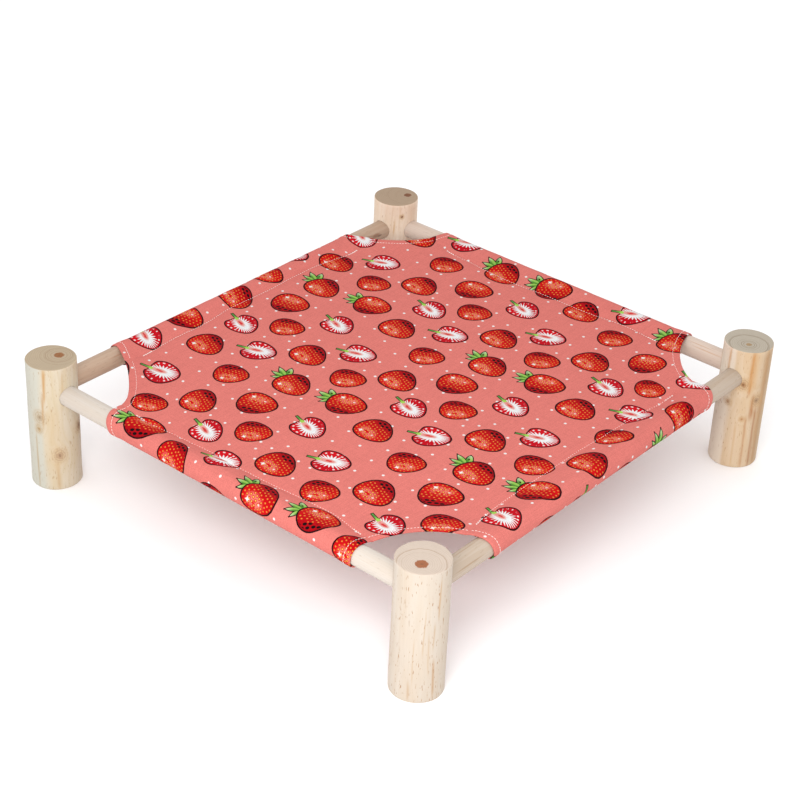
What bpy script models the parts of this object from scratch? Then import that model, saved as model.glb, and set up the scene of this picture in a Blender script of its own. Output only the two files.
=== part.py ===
"""Elevated pet bed: four round pine legs, four round dowel rails and a canvas cover whose sewn
sleeves run over the rails.

Frame: +Z up, origin on the floor at the centre of the rectangle of leg axes.
X runs from the left legs to the right legs, Y from the front legs to the back legs.
"""

import math

import bmesh
import bpy
from mathutils import Vector
from mathutils.geometry import delaunay_2d_cdt

# ---------------------------------------------------------------- driving dimensions, metres
SPAN_X = 0.452          # leg axis to leg axis along X
SPAN_Y = 0.493          # leg axis to leg axis along Y
LEG_R = 0.024           # leg radius
LEG_H = 0.132           # leg height
LEG_EDGE = 0.0009       # worn edge round the sawn ends

RAIL_R = 0.010          # dowel rail radius
RAIL_Z = 0.100          # height of every rail's axis
TENON_END = 0.0120      # distance from a leg's axis to the end of the rail inside it
RAIL_EDGE = 0.0008      # chamfer on the rail's ends
SOCKET_CLEAR = 0.0003   # clearance of a rail in its socket, all round and at its end

CLOTH_T = 0.0010        # thickness of the canvas solids
PANEL_Z = 0.1050        # middle of the lying panel
FIT = 0.0003            # gap between neighbouring pieces

# distance of each sleeve's seam from the axis of its rail
SEAM_IN = {"front": 0.0190, "right": 0.0245, "back": 0.0262, "left": 0.0185}

# the corner cut-outs of the cover, measured from the leg's axis:
# (reach on the rail along X, reach on the rail along Y, reach on the diagonal)
CUT = {
    "front_left": (0.0790, 0.0855, 0.0725),
    "front_right": (0.0690, 0.0800, 0.0670),
    "back_right": (0.0710, 0.0670, 0.0665),
    "back_left": (0.0675, 0.0765, 0.0660),
}

LIE_X, LIE_Y = 0.140, 0.155  # half sizes of the panel's flat middle, clear of the stitching
SAG = 0.0003            # how far the panel's middle lies below its edges

HEM_IN = 0.0070         # hem stitching, in from the edge of a cut-out
THREAD_W = 0.0009       # width and height of a stitch line
THREAD_H = 0.0005
SEAM_BACK = 0.0060      # a side seam stops this far short of the cut-out's edge

LEG_SEGMENTS = 72
RAIL_SEGMENTS = 48
SLEEVE_SEGMENTS = 30
ARC_SEGMENTS = 18

CORNERS = {
    "front_left": (-1, -1),
    "front_right": (1, -1),
    "back_right": (1, 1),
    "back_left": (-1, 1),
}


# ---------------------------------------------------------------- materials
def material(name, colour, roughness, metallic=0.0):
    m = bpy.data.materials.new(name)
    m.use_nodes = True
    b = m.node_tree.nodes["Principled BSDF"]
    b.inputs["Base Color"].default_value = (*colour, 1.0)
    b.inputs["Roughness"].default_value = roughness
    b.inputs["Metallic"].default_value = metallic
    return m


def add_object(name, bm, mat, parent, smooth_angle=35.0):
    bmesh.ops.recalc_face_normals(bm, faces=bm.faces[:])
    me = bpy.data.meshes.new(name)
    bm.to_mesh(me)
    bm.free()
    me.shade_smooth()
    me.set_sharp_from_angle(angle=math.radians(smooth_angle))
    me.materials.append(mat)
    ob = bpy.data.objects.new(name, me)
    bpy.context.scene.collection.objects.link(ob)
    ob.parent = parent
    return ob


def cylinder(radius, length, segments):
    """A closed cylinder along +Z from 0 to length."""
    bm = bmesh.new()
    bmesh.ops.create_cone(bm, cap_ends=True, segments=segments,
                          radius1=radius, radius2=radius, depth=length)
    bmesh.ops.translate(bm, vec=(0, 0, length / 2), verts=bm.verts[:])
    return bm


def bevel_ends(bm, width, segments):
    """Round off the rims of the two flat ends."""
    rims = [e for e in bm.edges
            if len(e.link_faces) == 2 and any(len(f.verts) > 4 for f in e.link_faces)]
    bmesh.ops.bevel(bm, geom=rims, offset=width, offset_type="OFFSET",
                    segments=segments, profile=0.5, affect="EDGES")


# ---------------------------------------------------------------- the corner cut-outs
def cut_radius(corner, phi):
    """Distance from the leg's axis to the cut-out's edge; phi is 0 along the X rail, 90 deg along the Y rail."""
    rx, ry, rd = CUT[corner]
    dip = (rx + ry) / 2 - rd
    return rx * math.cos(phi) ** 2 + ry * math.sin(phi) ** 2 - dip * math.sin(2 * phi) ** 2


def cut_at(corner, offset, along_x):
    """Angle at which the cut-out's edge lies `offset` in from the axis of the X rail (or the Y rail)."""
    if offset <= 0:
        return 0.0 if along_x else math.pi / 2
    lo, hi = (0.0, math.pi / 4) if along_x else (math.pi / 2, math.pi / 4)
    for _ in range(50):
        mid = (lo + hi) / 2
        r = cut_radius(corner, mid)
        off = r * (math.sin(mid) if along_x else math.cos(mid))
        if off < offset:
            lo = mid
        else:
            hi = mid
    return (lo + hi) / 2


def mouth_reach(corner, offset, along_x):
    """How far the sleeve's mouth lies from the leg's axis, along the rail, `offset` in from the rail's axis."""
    phi = cut_at(corner, offset, along_x)
    r = cut_radius(corner, phi)
    return r * (math.cos(phi) if along_x else math.sin(phi))


def corner_point(corner, p, q):
    """p along X and q along Y, both inwards from the leg's axis."""
    sx, sy = CORNERS[corner]
    return Vector((sx * (SPAN_X / 2 - p), sy * (SPAN_Y / 2 - q)))


SIDES = {
    # side: (first corner, second corner, runs along X)
    "front": ("front_left", "front_right", True),
    "right": ("front_right", "back_right", False),
    "back": ("back_left", "back_right", True),
    "left": ("front_left", "back_left", False),
}


def sides_of(corner):
    along_x = "front" if corner.startswith("front") else "back"
    along_y = "left" if corner.endswith("left") else "right"
    return along_x, along_y


def side_point(side, along, inward, z):
    """A point given by its coordinate along a side's rail, its distance inwards from the rail's axis, and z."""
    first, _, along_x = SIDES[side]
    sx, sy = CORNERS[first]
    if along_x:
        return Vector((along, sy * (SPAN_Y / 2 - inward), z))
    return Vector((sx * (SPAN_X / 2 - inward), along, z))


def sleeve_end(side, corner, inward):
    """Coordinate along the rail where the sleeve ends near a corner."""
    _, _, along_x = SIDES[side]
    sx, sy = CORNERS[corner]
    reach = mouth_reach(corner, inward, along_x)
    return sx * (SPAN_X / 2 - reach) if along_x else sy * (SPAN_Y / 2 - reach)


# ---------------------------------------------------------------- legs and rails
def make_leg(corner, mat, parent, cutter_mat):
    sx, sy = CORNERS[corner]
    bm = cylinder(LEG_R, LEG_H, LEG_SEGMENTS)
    bevel_ends(bm, LEG_EDGE, 2)
    leg = add_object("leg_" + corner, bm, mat, parent)
    leg.location = (sx * SPAN_X / 2, sy * SPAN_Y / 2, 0)
    # two blind sockets at one height, at right angles, with wood left between their ends
    for axis in ("x", "y"):
        depth_end = TENON_END - SOCKET_CLEAR
        length = LEG_R + 0.010 - depth_end
        bm = cylinder(RAIL_R + SOCKET_CLEAR, length, RAIL_SEGMENTS)
        cutter = add_object("socket_cutter_%s_%s" % (axis, corner), bm, cutter_mat, parent)
        cutter.hide_render = True
        cutter.display_type = "WIRE"
        if axis == "x":
            cutter.rotation_euler = (0, math.radians(-90 if sx > 0 else 90), 0)
            cutter.location = (sx * (SPAN_X / 2 - depth_end), sy * SPAN_Y / 2, RAIL_Z)
        else:
            cutter.rotation_euler = (math.radians(90 if sy > 0 else -90), 0, 0)
            cutter.location = (sx * SPAN_X / 2, sy * (SPAN_Y / 2 - depth_end), RAIL_Z)
        mod = leg.modifiers.new("socket_" + axis, "BOOLEAN")
        mod.operation = "DIFFERENCE"
        mod.solver = "EXACT"
        mod.object = cutter
    return leg


def make_rail(side, mat, parent):
    _, _, along_x = SIDES[side]
    length = (SPAN_X if along_x else SPAN_Y) - 2 * TENON_END
    bm = cylinder(RAIL_R, length, RAIL_SEGMENTS)
    bevel_ends(bm, RAIL_EDGE, 1)
    rail = add_object("rail_" + side, bm, mat, parent)
    start = side_point(side, -length / 2, 0.0, RAIL_Z)
    rail.location = start
    rail.rotation_euler = (0, math.radians(90), 0) if along_x else (math.radians(-90), 0, 0)
    return rail


# ---------------------------------------------------------------- the cover
def teardrop(reach, rise, radius, trim, count):
    """A loop round the rail that runs out in two straight flanks towards a point at (reach, rise).

    Coordinates are (inwards from the rail's axis, up from the rail's axis). The flanks are cut off at `trim`.
    """
    mid_r = RAIL_R + FIT + CLOTH_T / 2
    point = math.atan2(rise, reach)
    beta = math.acos(mid_r / math.hypot(reach, rise))
    a0, a1 = point + beta, point - beta + 2 * math.pi
    loop = [(radius * math.cos(a0 + (a1 - a0) * i / count), radius * math.sin(a0 + (a1 - a0) * i / count))
            for i in range(count + 1)]
    for a, (dx, dz) in ((a1, (-math.sin(a1), math.cos(a1))), (a0, (math.sin(a0), -math.cos(a0)))):
        px, pz = radius * math.cos(a), radius * math.sin(a)
        k = (trim - px) / dx
        loop.append((trim, pz + k * dz))
    return loop


def make_sleeve(side, mat, parent):
    first, second, along_x = SIDES[side]
    reach = SEAM_IN[side]
    rise = PANEL_Z - RAIL_Z
    mid_r = RAIL_R + FIT + CLOTH_T / 2
    beta = math.acos(mid_r / math.hypot(reach, rise))
    inner_r = mid_r - CLOTH_T / 2
    tip = inner_r / math.cos(beta) * math.cos(math.atan2(rise, reach))
    outer = teardrop(reach, rise, mid_r + CLOTH_T / 2, reach, SLEEVE_SEGMENTS)
    inner = teardrop(reach, rise, inner_r, tip - 0.0004, SLEEVE_SEGMENTS)
    bm = bmesh.new()
    rings = []
    for corner in (first, second):
        for loop in (outer, inner):
            rings.append([bm.verts.new(side_point(side, sleeve_end(side, corner, t), t, RAIL_Z + z))
                          for t, z in loop])
    o0, i0, o1, i1 = rings
    n = len(outer)
    for k in range(n):
        m = (k + 1) % n
        for a, b, c, d in ((o0[k], o0[m], o1[m], o1[k]), (i0[k], i1[k], i1[m], i0[m]),
                           (o0[k], i0[k], i0[m], o0[m]), (o1[k], o1[m], i1[m], i1[k])):
            bm.faces.new((a, b, c))
            bm.faces.new((a, c, d))
    return add_object("cover_sleeve_" + side, bm, mat, parent, 40.0)


def panel_outline():
    """The lying panel between the four side seams, with its concave corners, counter-clockwise."""
    pts = []
    for corner in ("front_left", "front_right", "back_right", "back_left"):
        side_x, side_y = sides_of(corner)
        phi_x = cut_at(corner, SEAM_IN[side_x] + FIT, True)
        phi_y = cut_at(corner, SEAM_IN[side_y] + FIT, False)
        arc = []
        for i in range(ARC_SEGMENTS + 1):
            phi = phi_x + (phi_y - phi_x) * i / ARC_SEGMENTS
            r = cut_radius(corner, phi)
            arc.append(corner_point(corner, r * math.cos(phi), r * math.sin(phi)))
        # the outline enters a front-left or back-right corner from its left or right side
        if corner in ("front_left", "back_right"):
            arc.reverse()
        pts.extend(arc)
    return pts


def make_panel(mat, parent):
    bm = bmesh.new()
    pts = panel_outline()
    n = len(pts)
    # the middle of the panel, clear of every stitch line, is one flat rectangle, a little lower
    pts += [Vector((sx * LIE_X, sy * LIE_Y)) for sx, sy in CORNERS.values()]
    edges = [(k, (k + 1) % n) for k in range(n)] + [(n + k, n + (k + 1) % 4) for k in range(4)]
    flat, _, tris, origin, _, _ = delaunay_2d_cdt(pts, edges, [], 0, 1e-7)
    height = [PANEL_Z - (SAG if max(sources) >= n else 0.0) for sources in origin]
    lower = [bm.verts.new((p.x, p.y, z - CLOTH_T / 2)) for p, z in zip(flat, height)]
    upper = [bm.verts.new((p.x, p.y, z + CLOTH_T / 2)) for p, z in zip(flat, height)]
    place = {source: i for i, sources in enumerate(origin) for source in sources}
    outline = [pts[k] for k in range(n)]
    for tri in tris:
        centre = sum((flat[i] for i in tri), Vector((0, 0))) / 3
        if inside(centre, outline):
            bm.faces.new([lower[i] for i in reversed(tri)])
            bm.faces.new([upper[i] for i in tri])
    for k in range(n):
        a, b = place[k], place[(k + 1) % n]
        bm.faces.new((lower[a], lower[b], upper[b], upper[a]))
    loose = [v for v in bm.verts if not v.link_faces]
    bmesh.ops.delete(bm, geom=loose, context="VERTS")
    return add_object("cover_panel", bm, mat, parent, 40.0)


def inside(p, outline):
    """Whether a point lies within a closed outline."""
    odd = False
    for a, b in zip(outline, outline[1:] + outline[:1]):
        if (a.y > p.y) != (b.y > p.y) and p.x < a.x + (p.y - a.y) / (b.y - a.y) * (b.x - a.x):
            odd = not odd
    return odd


def strip(name, path, mat, parent):
    """A flat line of thread along a list of points, THREAD_W wide and THREAD_H high."""
    bm = bmesh.new()
    rings = []
    for i, p in enumerate(path):
        a = path[max(i - 1, 0)]
        b = path[min(i + 1, len(path) - 1)]
        d = (b - a).normalized()
        side = Vector((-d.y, d.x, 0)).normalized() * (THREAD_W / 2)
        up = Vector((0, 0, THREAD_H))
        rings.append([bm.verts.new(p + side), bm.verts.new(p - side),
                      bm.verts.new(p - side + up), bm.verts.new(p + side + up)])
    for r0, r1 in zip(rings, rings[1:]):
        for k in range(4):
            m = (k + 1) % 4
            bm.faces.new((r0[k], r0[m], r1[m], r1[k]))
    bm.faces.new(list(reversed(rings[0])))
    bm.faces.new(rings[-1])
    return add_object(name, bm, mat, parent)


def make_seam_thread(side, mat, parent):
    """The stitch line that closes a sleeve, on the panel's edge."""
    first, second, _ = SIDES[side]
    inward = SEAM_IN[side] + FIT + THREAD_W
    z = PANEL_Z + CLOTH_T / 2 + FIT
    a = sleeve_end(side, first, inward) + SEAM_BACK
    b = sleeve_end(side, second, inward) - SEAM_BACK
    return strip("seam_thread_" + side,
                 [side_point(side, a + (b - a) * i / 4, inward, z) for i in range(5)], mat, parent)


def make_hem_thread(corner, mat, parent):
    """The topstitching of the narrow hem round a corner cut-out."""
    side_x, side_y = sides_of(corner)
    clear = FIT + 3 * THREAD_W
    phi_x = cut_at(corner, SEAM_IN[side_x] + clear, True)
    phi_y = cut_at(corner, SEAM_IN[side_y] + clear, False)
    z = PANEL_Z + CLOTH_T / 2 + FIT
    path = []
    for i in range(ARC_SEGMENTS + 1):
        phi = phi_x + (phi_y - phi_x) * i / ARC_SEGMENTS
        r = cut_radius(corner, phi) + HEM_IN
        xy = corner_point(corner, r * math.cos(phi), r * math.sin(phi))
        path.append(Vector((xy.x, xy.y, z)))
    return strip("hem_thread_" + corner, path, mat, parent)


def main():
    for ob in list(bpy.data.objects):
        bpy.data.objects.remove(ob, do_unlink=True)

    leg_wood = material("leg_pine", (0.80, 0.66, 0.48), 0.62)
    rail_wood = material("rail_pine", (0.82, 0.72, 0.57), 0.55)
    canvas = material("cover_canvas", (0.80, 0.29, 0.26), 0.90)
    thread = material("white_thread", (0.86, 0.83, 0.80), 0.70)
    guide = material("guide", (0.5, 0.5, 0.5), 0.5)

    root = bpy.data.objects.new("pet_bed", None)
    bpy.context.scene.collection.objects.link(root)

    for corner in CORNERS:
        make_leg(corner, leg_wood, root, guide)
    for side in SIDES:
        make_rail(side, rail_wood, root)
        make_sleeve(side, canvas, root)
        make_seam_thread(side, thread, root)
    make_panel(canvas, root)
    for corner in CORNERS:
        make_hem_thread(corner, thread, root)


main()
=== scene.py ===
"""Elevated pet bed: four round pine legs, four dowel rails and a printed canvas cover sewn round the rails.

Frame: +Z up, origin on the floor at the centre of the rectangle of leg axes.
X runs from the left legs to the right legs, Y from the front legs to the back legs.
"""

import math

import bmesh
import bpy
import numpy as np
from mathutils import Matrix, Vector
from mathutils.geometry import delaunay_2d_cdt


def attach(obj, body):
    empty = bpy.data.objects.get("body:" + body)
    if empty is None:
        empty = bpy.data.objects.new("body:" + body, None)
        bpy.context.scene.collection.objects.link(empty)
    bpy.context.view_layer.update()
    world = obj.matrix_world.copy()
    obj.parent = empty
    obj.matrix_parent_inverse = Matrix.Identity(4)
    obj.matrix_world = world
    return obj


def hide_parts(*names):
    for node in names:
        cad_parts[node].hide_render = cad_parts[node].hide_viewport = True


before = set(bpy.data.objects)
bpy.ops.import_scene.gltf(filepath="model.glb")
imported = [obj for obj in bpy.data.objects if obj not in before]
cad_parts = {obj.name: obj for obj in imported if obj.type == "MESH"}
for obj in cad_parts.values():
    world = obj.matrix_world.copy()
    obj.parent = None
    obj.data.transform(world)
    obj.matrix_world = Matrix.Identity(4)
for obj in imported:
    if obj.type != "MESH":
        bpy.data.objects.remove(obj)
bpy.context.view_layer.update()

# ---------------------------------------------------------------- dimensions shared with the frame, metres
HX, HY = 0.226, 0.2465      # half the spacing of the leg axes
LEG_R, LEG_H = 0.024, 0.132
RAIL_R, RAIL_Z = 0.010, 0.100
TENON_END = 0.012
SOCKET_R = 0.01014
PANEL_Z = 0.1050
MM = 0.001

CORNERS = {
    "front_left": (-1, -1),
    "front_right": (1, -1),
    "back_right": (1, 1),
    "back_left": (-1, 1),
}
SIDES = {
    "front": ("front_left", "front_right", True),
    "right": ("front_right", "back_right", False),
    "back": ("back_left", "back_right", True),
    "left": ("front_left", "back_left", False),
}

# corner cut-outs, from the leg's axis: reach on the X rail and on the Y rail
CUT = {
    "front_left": (0.0830, 0.0830),
    "front_right": (0.0670, 0.0785),
    "back_right": (0.0688, 0.0712),
    "back_left": (0.0698, 0.0755),
}
# and their outlines: degrees from the X rail's direction and reach in millimetres
OUTLINE = {
    "front_left": ((-5, 83.4), (0, 83.2), (8, 83.0), (14, 82.2), (20, 79.6), (27, 76.3), (39, 72.6), (50, 71.3),
                   (62, 72.2), (71, 73.7), (80, 76.9), (88, 81.5), (95, 84.0)),
    "front_right": ((-5, 68.4), (0, 67.6), (7, 66.4), (17, 65.3), (31, 65.8), (43.5, 67.0), (55, 69.0), (67, 71.4),
                    (78, 74.9), (86, 77.8), (93, 79.0)),
    "back_right": ((-5, 69.4), (0, 68.7), (10, 66.9), (23, 65.6), (31, 65.2), (43, 65.5), (55, 67.5), (65, 70.0),
                   (74, 72.7), (81, 73.8), (86, 72.6), (90, 71.2), (95, 70.8)),
    "back_left": ((-5, 71.0), (0, 69.6), (10, 67.4), (24, 65.0), (36, 64.0), (53, 63.9), (70, 66.4), (80, 69.4),
                  (88, 74.5), (95, 78.5)),
}
# how much shorter each sleeve is underneath than on top, at its mouths
SLANT = {
    ("front", "front_left"): 0.0074, ("left", "front_left"): 0.0024,
    ("front", "front_right"): 0.0022, ("right", "front_right"): 0.0054,
    ("right", "back_right"): 0.0085, ("back", "back_right"): 0.0020,
    ("left", "back_left"): 0.0020, ("back", "back_left"): 0.0015,
}
# distance of the seam from the rail's axis at points along each side, both in millimetres
SEAM = {
    "front": ((-175, 15.0), (-150, 13.2), (-128, 12.2), (-115, 12.4), (-105, 13.4), (-90, 15.5), (-72, 17.0),
              (-54, 17.9), (-33, 19.4), (6, 18.0), (28, 18.9), (46, 19.5), (64, 21.2), (84, 22.4), (100, 23.4),
              (110, 23.2), (120, 21.6), (132, 18.0), (147, 13.8), (160, 12.4), (175, 12.0)),
    "right": ((-180, 14.0), (-165, 15.2), (-153, 17.7), (-145, 20.4), (-137, 22.2), (-128, 23.2), (-119, 24.3),
              (-97, 25.0), (-67, 25.4), (-41, 24.7), (-15, 25.4), (6, 25.5), (22, 25.0), (35, 23.8), (55, 23.6),
              (72, 23.1), (91, 22.2), (113, 19.8), (124, 18.2), (141, 17.4), (160, 16.6), (185, 16.0)),
    "back": ((-175, 16.5), (-150, 18.2), (-135, 21.0), (-129, 22.4), (-116, 22.3), (-103, 22.0), (-86, 24.0),
             (-55, 26.2), (-36, 26.3), (-6, 24.5), (18, 24.3), (40, 24.6), (65, 23.2), (84, 20.2), (102, 19.6),
             (115, 21.2), (129, 23.7), (136, 25.2), (150, 26.6), (175, 27.0)),
    "left": ((-180, 28.0), (-166, 27.4), (-156, 26.5), (-144, 24.3), (-132, 22.0), (-120, 20.2), (-100, 19.2),
             (-74, 20.1), (-59, 19.3), (-48, 17.4), (-33, 15.2), (-7, 14.7), (18, 15.9), (42, 15.4), (54, 13.9),
             (78, 13.8), (94, 14.3), (105, 14.6), (118, 16.2), (129, 18.4), (137, 20.8), (148, 23.2), (157, 22.8),
             (180, 22.2)),
}
# where the stitching of each side seam starts and stops, along the rail, in millimetres
SEWN = {"front": (-126, 147), "right": (-153, 146), "back": (-135, 138), "left": (-156, 157)}


# ---------------------------------------------------------------- helpers for shapes
def wave_noise(seed, count, low, high):
    """A smooth, repeatable noise of two coordinates, about -1 to 1."""
    rng = np.random.default_rng(seed)
    ang = rng.uniform(0, 2 * math.pi, count)
    k = rng.uniform(low, high, count)
    ph = rng.uniform(0, 2 * math.pi, count)

    def f(x, y):
        total = 0.0
        for a, w, p in zip(ang, k, ph):
            total = total + np.sin(w * (math.cos(a) * x + math.sin(a) * y) + p)
        return total / math.sqrt(count)
    return f


def make_mesh(name, verts, faces, mats, uvs=None, smooth=True):
    me = bpy.data.meshes.new(name)
    me.from_pydata([tuple(map(float, v)) for v in verts], [], [tuple(int(i) for i in f) for f in faces])
    me.validate()
    if uvs is not None:
        layer = me.uv_layers.new(name="flat")
        idx = np.empty(len(me.loops), np.int32)
        me.loops.foreach_get("vertex_index", idx)
        layer.uv.foreach_set("vector", np.asarray(uvs, np.float32)[idx].ravel())
    if smooth:
        me.shade_smooth()
    for m in mats:
        me.materials.append(m)
    ob = bpy.data.objects.new(name, me)
    bpy.context.scene.collection.objects.link(ob)
    return ob


def smooth_step(x, lo, hi):
    t = np.clip((x - lo) / (hi - lo), 0, 1)
    return t * t * (3 - 2 * t)


# ---------------------------------------------------------------- helpers for materials
def lin(r, g, b):
    """A colour given as 0-255 display values, as the shader wants it."""
    def one(c):
        c = c / 255.0
        return c / 12.92 if c <= 0.04045 else ((c + 0.055) / 1.055) ** 2.4
    return (one(r), one(g), one(b), 1.0)


class V:
    """A value on its way through a material's nodes."""

    def __init__(self, net, socket):
        self.net, self.socket = net, socket

    def __add__(self, o):
        return self.net.math("ADD", self, o)

    __radd__ = __add__

    def __sub__(self, o):
        return self.net.math("SUBTRACT", self, o)

    def __rsub__(self, o):
        return self.net.math("SUBTRACT", o, self)

    def __mul__(self, o):
        return self.net.math("MULTIPLY", self, o)

    __rmul__ = __mul__

    def __truediv__(self, o):
        return self.net.math("DIVIDE", self, o)

    def __rtruediv__(self, o):
        return self.net.math("DIVIDE", o, self)

    def __neg__(self):
        return self.net.math("MULTIPLY", self, -1.0)


class Net:
    """Short names for building a node tree."""

    def __init__(self, tree):
        self.tree = tree

    def node(self, kind, **props):
        n = self.tree.nodes.new(kind)
        for k, v in props.items():
            setattr(n, k, v)
        return n

    def put(self, socket, value):
        if isinstance(value, V):
            self.tree.links.new(value.socket, socket)
        else:
            socket.default_value = value

    def math(self, op, *args, clamp=False):
        n = self.node("ShaderNodeMath", operation=op, use_clamp=clamp)
        for i, a in enumerate(args):
            self.put(n.inputs[i], a)
        return V(self, n.outputs[0])

    def hyp(self, a, b):
        return self.math("SQRT", a * a + b * b)

    def step(self, x, lo, hi):
        """0 below lo, 1 above hi, smooth between them."""
        n = self.node("ShaderNodeMapRange", interpolation_type="SMOOTHSTEP")
        self.put(n.inputs["Value"], x)
        n.inputs["From Min"].default_value = lo
        n.inputs["From Max"].default_value = hi
        return V(self, n.outputs["Result"])

    def mix(self, fac, a, b):
        n = self.node("ShaderNodeMix", data_type="RGBA")
        self.put(n.inputs[0], fac)
        self.put(n.inputs[6], a)
        self.put(n.inputs[7], b)
        return V(self, n.outputs[2])

    def mixf(self, fac, a, b):
        n = self.node("ShaderNodeMix", data_type="FLOAT")
        self.put(n.inputs[0], fac)
        self.put(n.inputs[2], a)
        self.put(n.inputs[3], b)
        return V(self, n.outputs[0])

    def scaled(self, colour, fac):
        """A colour made lighter or darker by a number round 1."""
        if not isinstance(colour, V):
            if not isinstance(fac, V):
                return tuple(c * fac for c in colour[:3]) + (1.0,)
            colour = colour[:3]
        n = self.node("ShaderNodeVectorMath", operation="SCALE")
        self.put(n.inputs[0], colour)
        self.put(n.inputs["Scale"], fac)
        return V(self, n.outputs[0])

    def xyz(self, x, y, z):
        n = self.node("ShaderNodeCombineXYZ")
        for i, a in enumerate((x, y, z)):
            self.put(n.inputs[i], a)
        return V(self, n.outputs[0])

    def parts(self, v):
        n = self.node("ShaderNodeSeparateXYZ")
        self.put(n.inputs[0], v)
        return [V(self, o) for o in n.outputs]

    def noise(self, v, scale, detail=2.0, rough=0.5):
        n = self.node("ShaderNodeTexNoise", noise_dimensions="3D")
        self.put(n.inputs["Vector"], v)
        n.inputs["Scale"].default_value = scale
        n.inputs["Detail"].default_value = detail
        n.inputs["Roughness"].default_value = rough
        return V(self, n.outputs["Fac"])

    def place(self):
        return V(self, self.node("ShaderNodeTexCoord").outputs["Object"])

    def uv(self):
        return V(self, self.node("ShaderNodeUVMap", uv_map="flat").outputs[0])

    def bump(self, height, strength, distance, normal=None):
        n = self.node("ShaderNodeBump")
        n.inputs["Strength"].default_value = strength
        n.inputs["Distance"].default_value = distance
        self.put(n.inputs["Height"], height)
        if normal is not None:
            self.put(n.inputs["Normal"], normal)
        return V(self, n.outputs[0])


def new_material(name, roughness, specular=0.35):
    m = bpy.data.materials.new(name)
    m.use_nodes = True
    b = m.node_tree.nodes["Principled BSDF"]
    b.inputs["Roughness"].default_value = roughness
    b.inputs["Specular IOR Level"].default_value = specular
    return m, Net(m.node_tree), b


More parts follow.
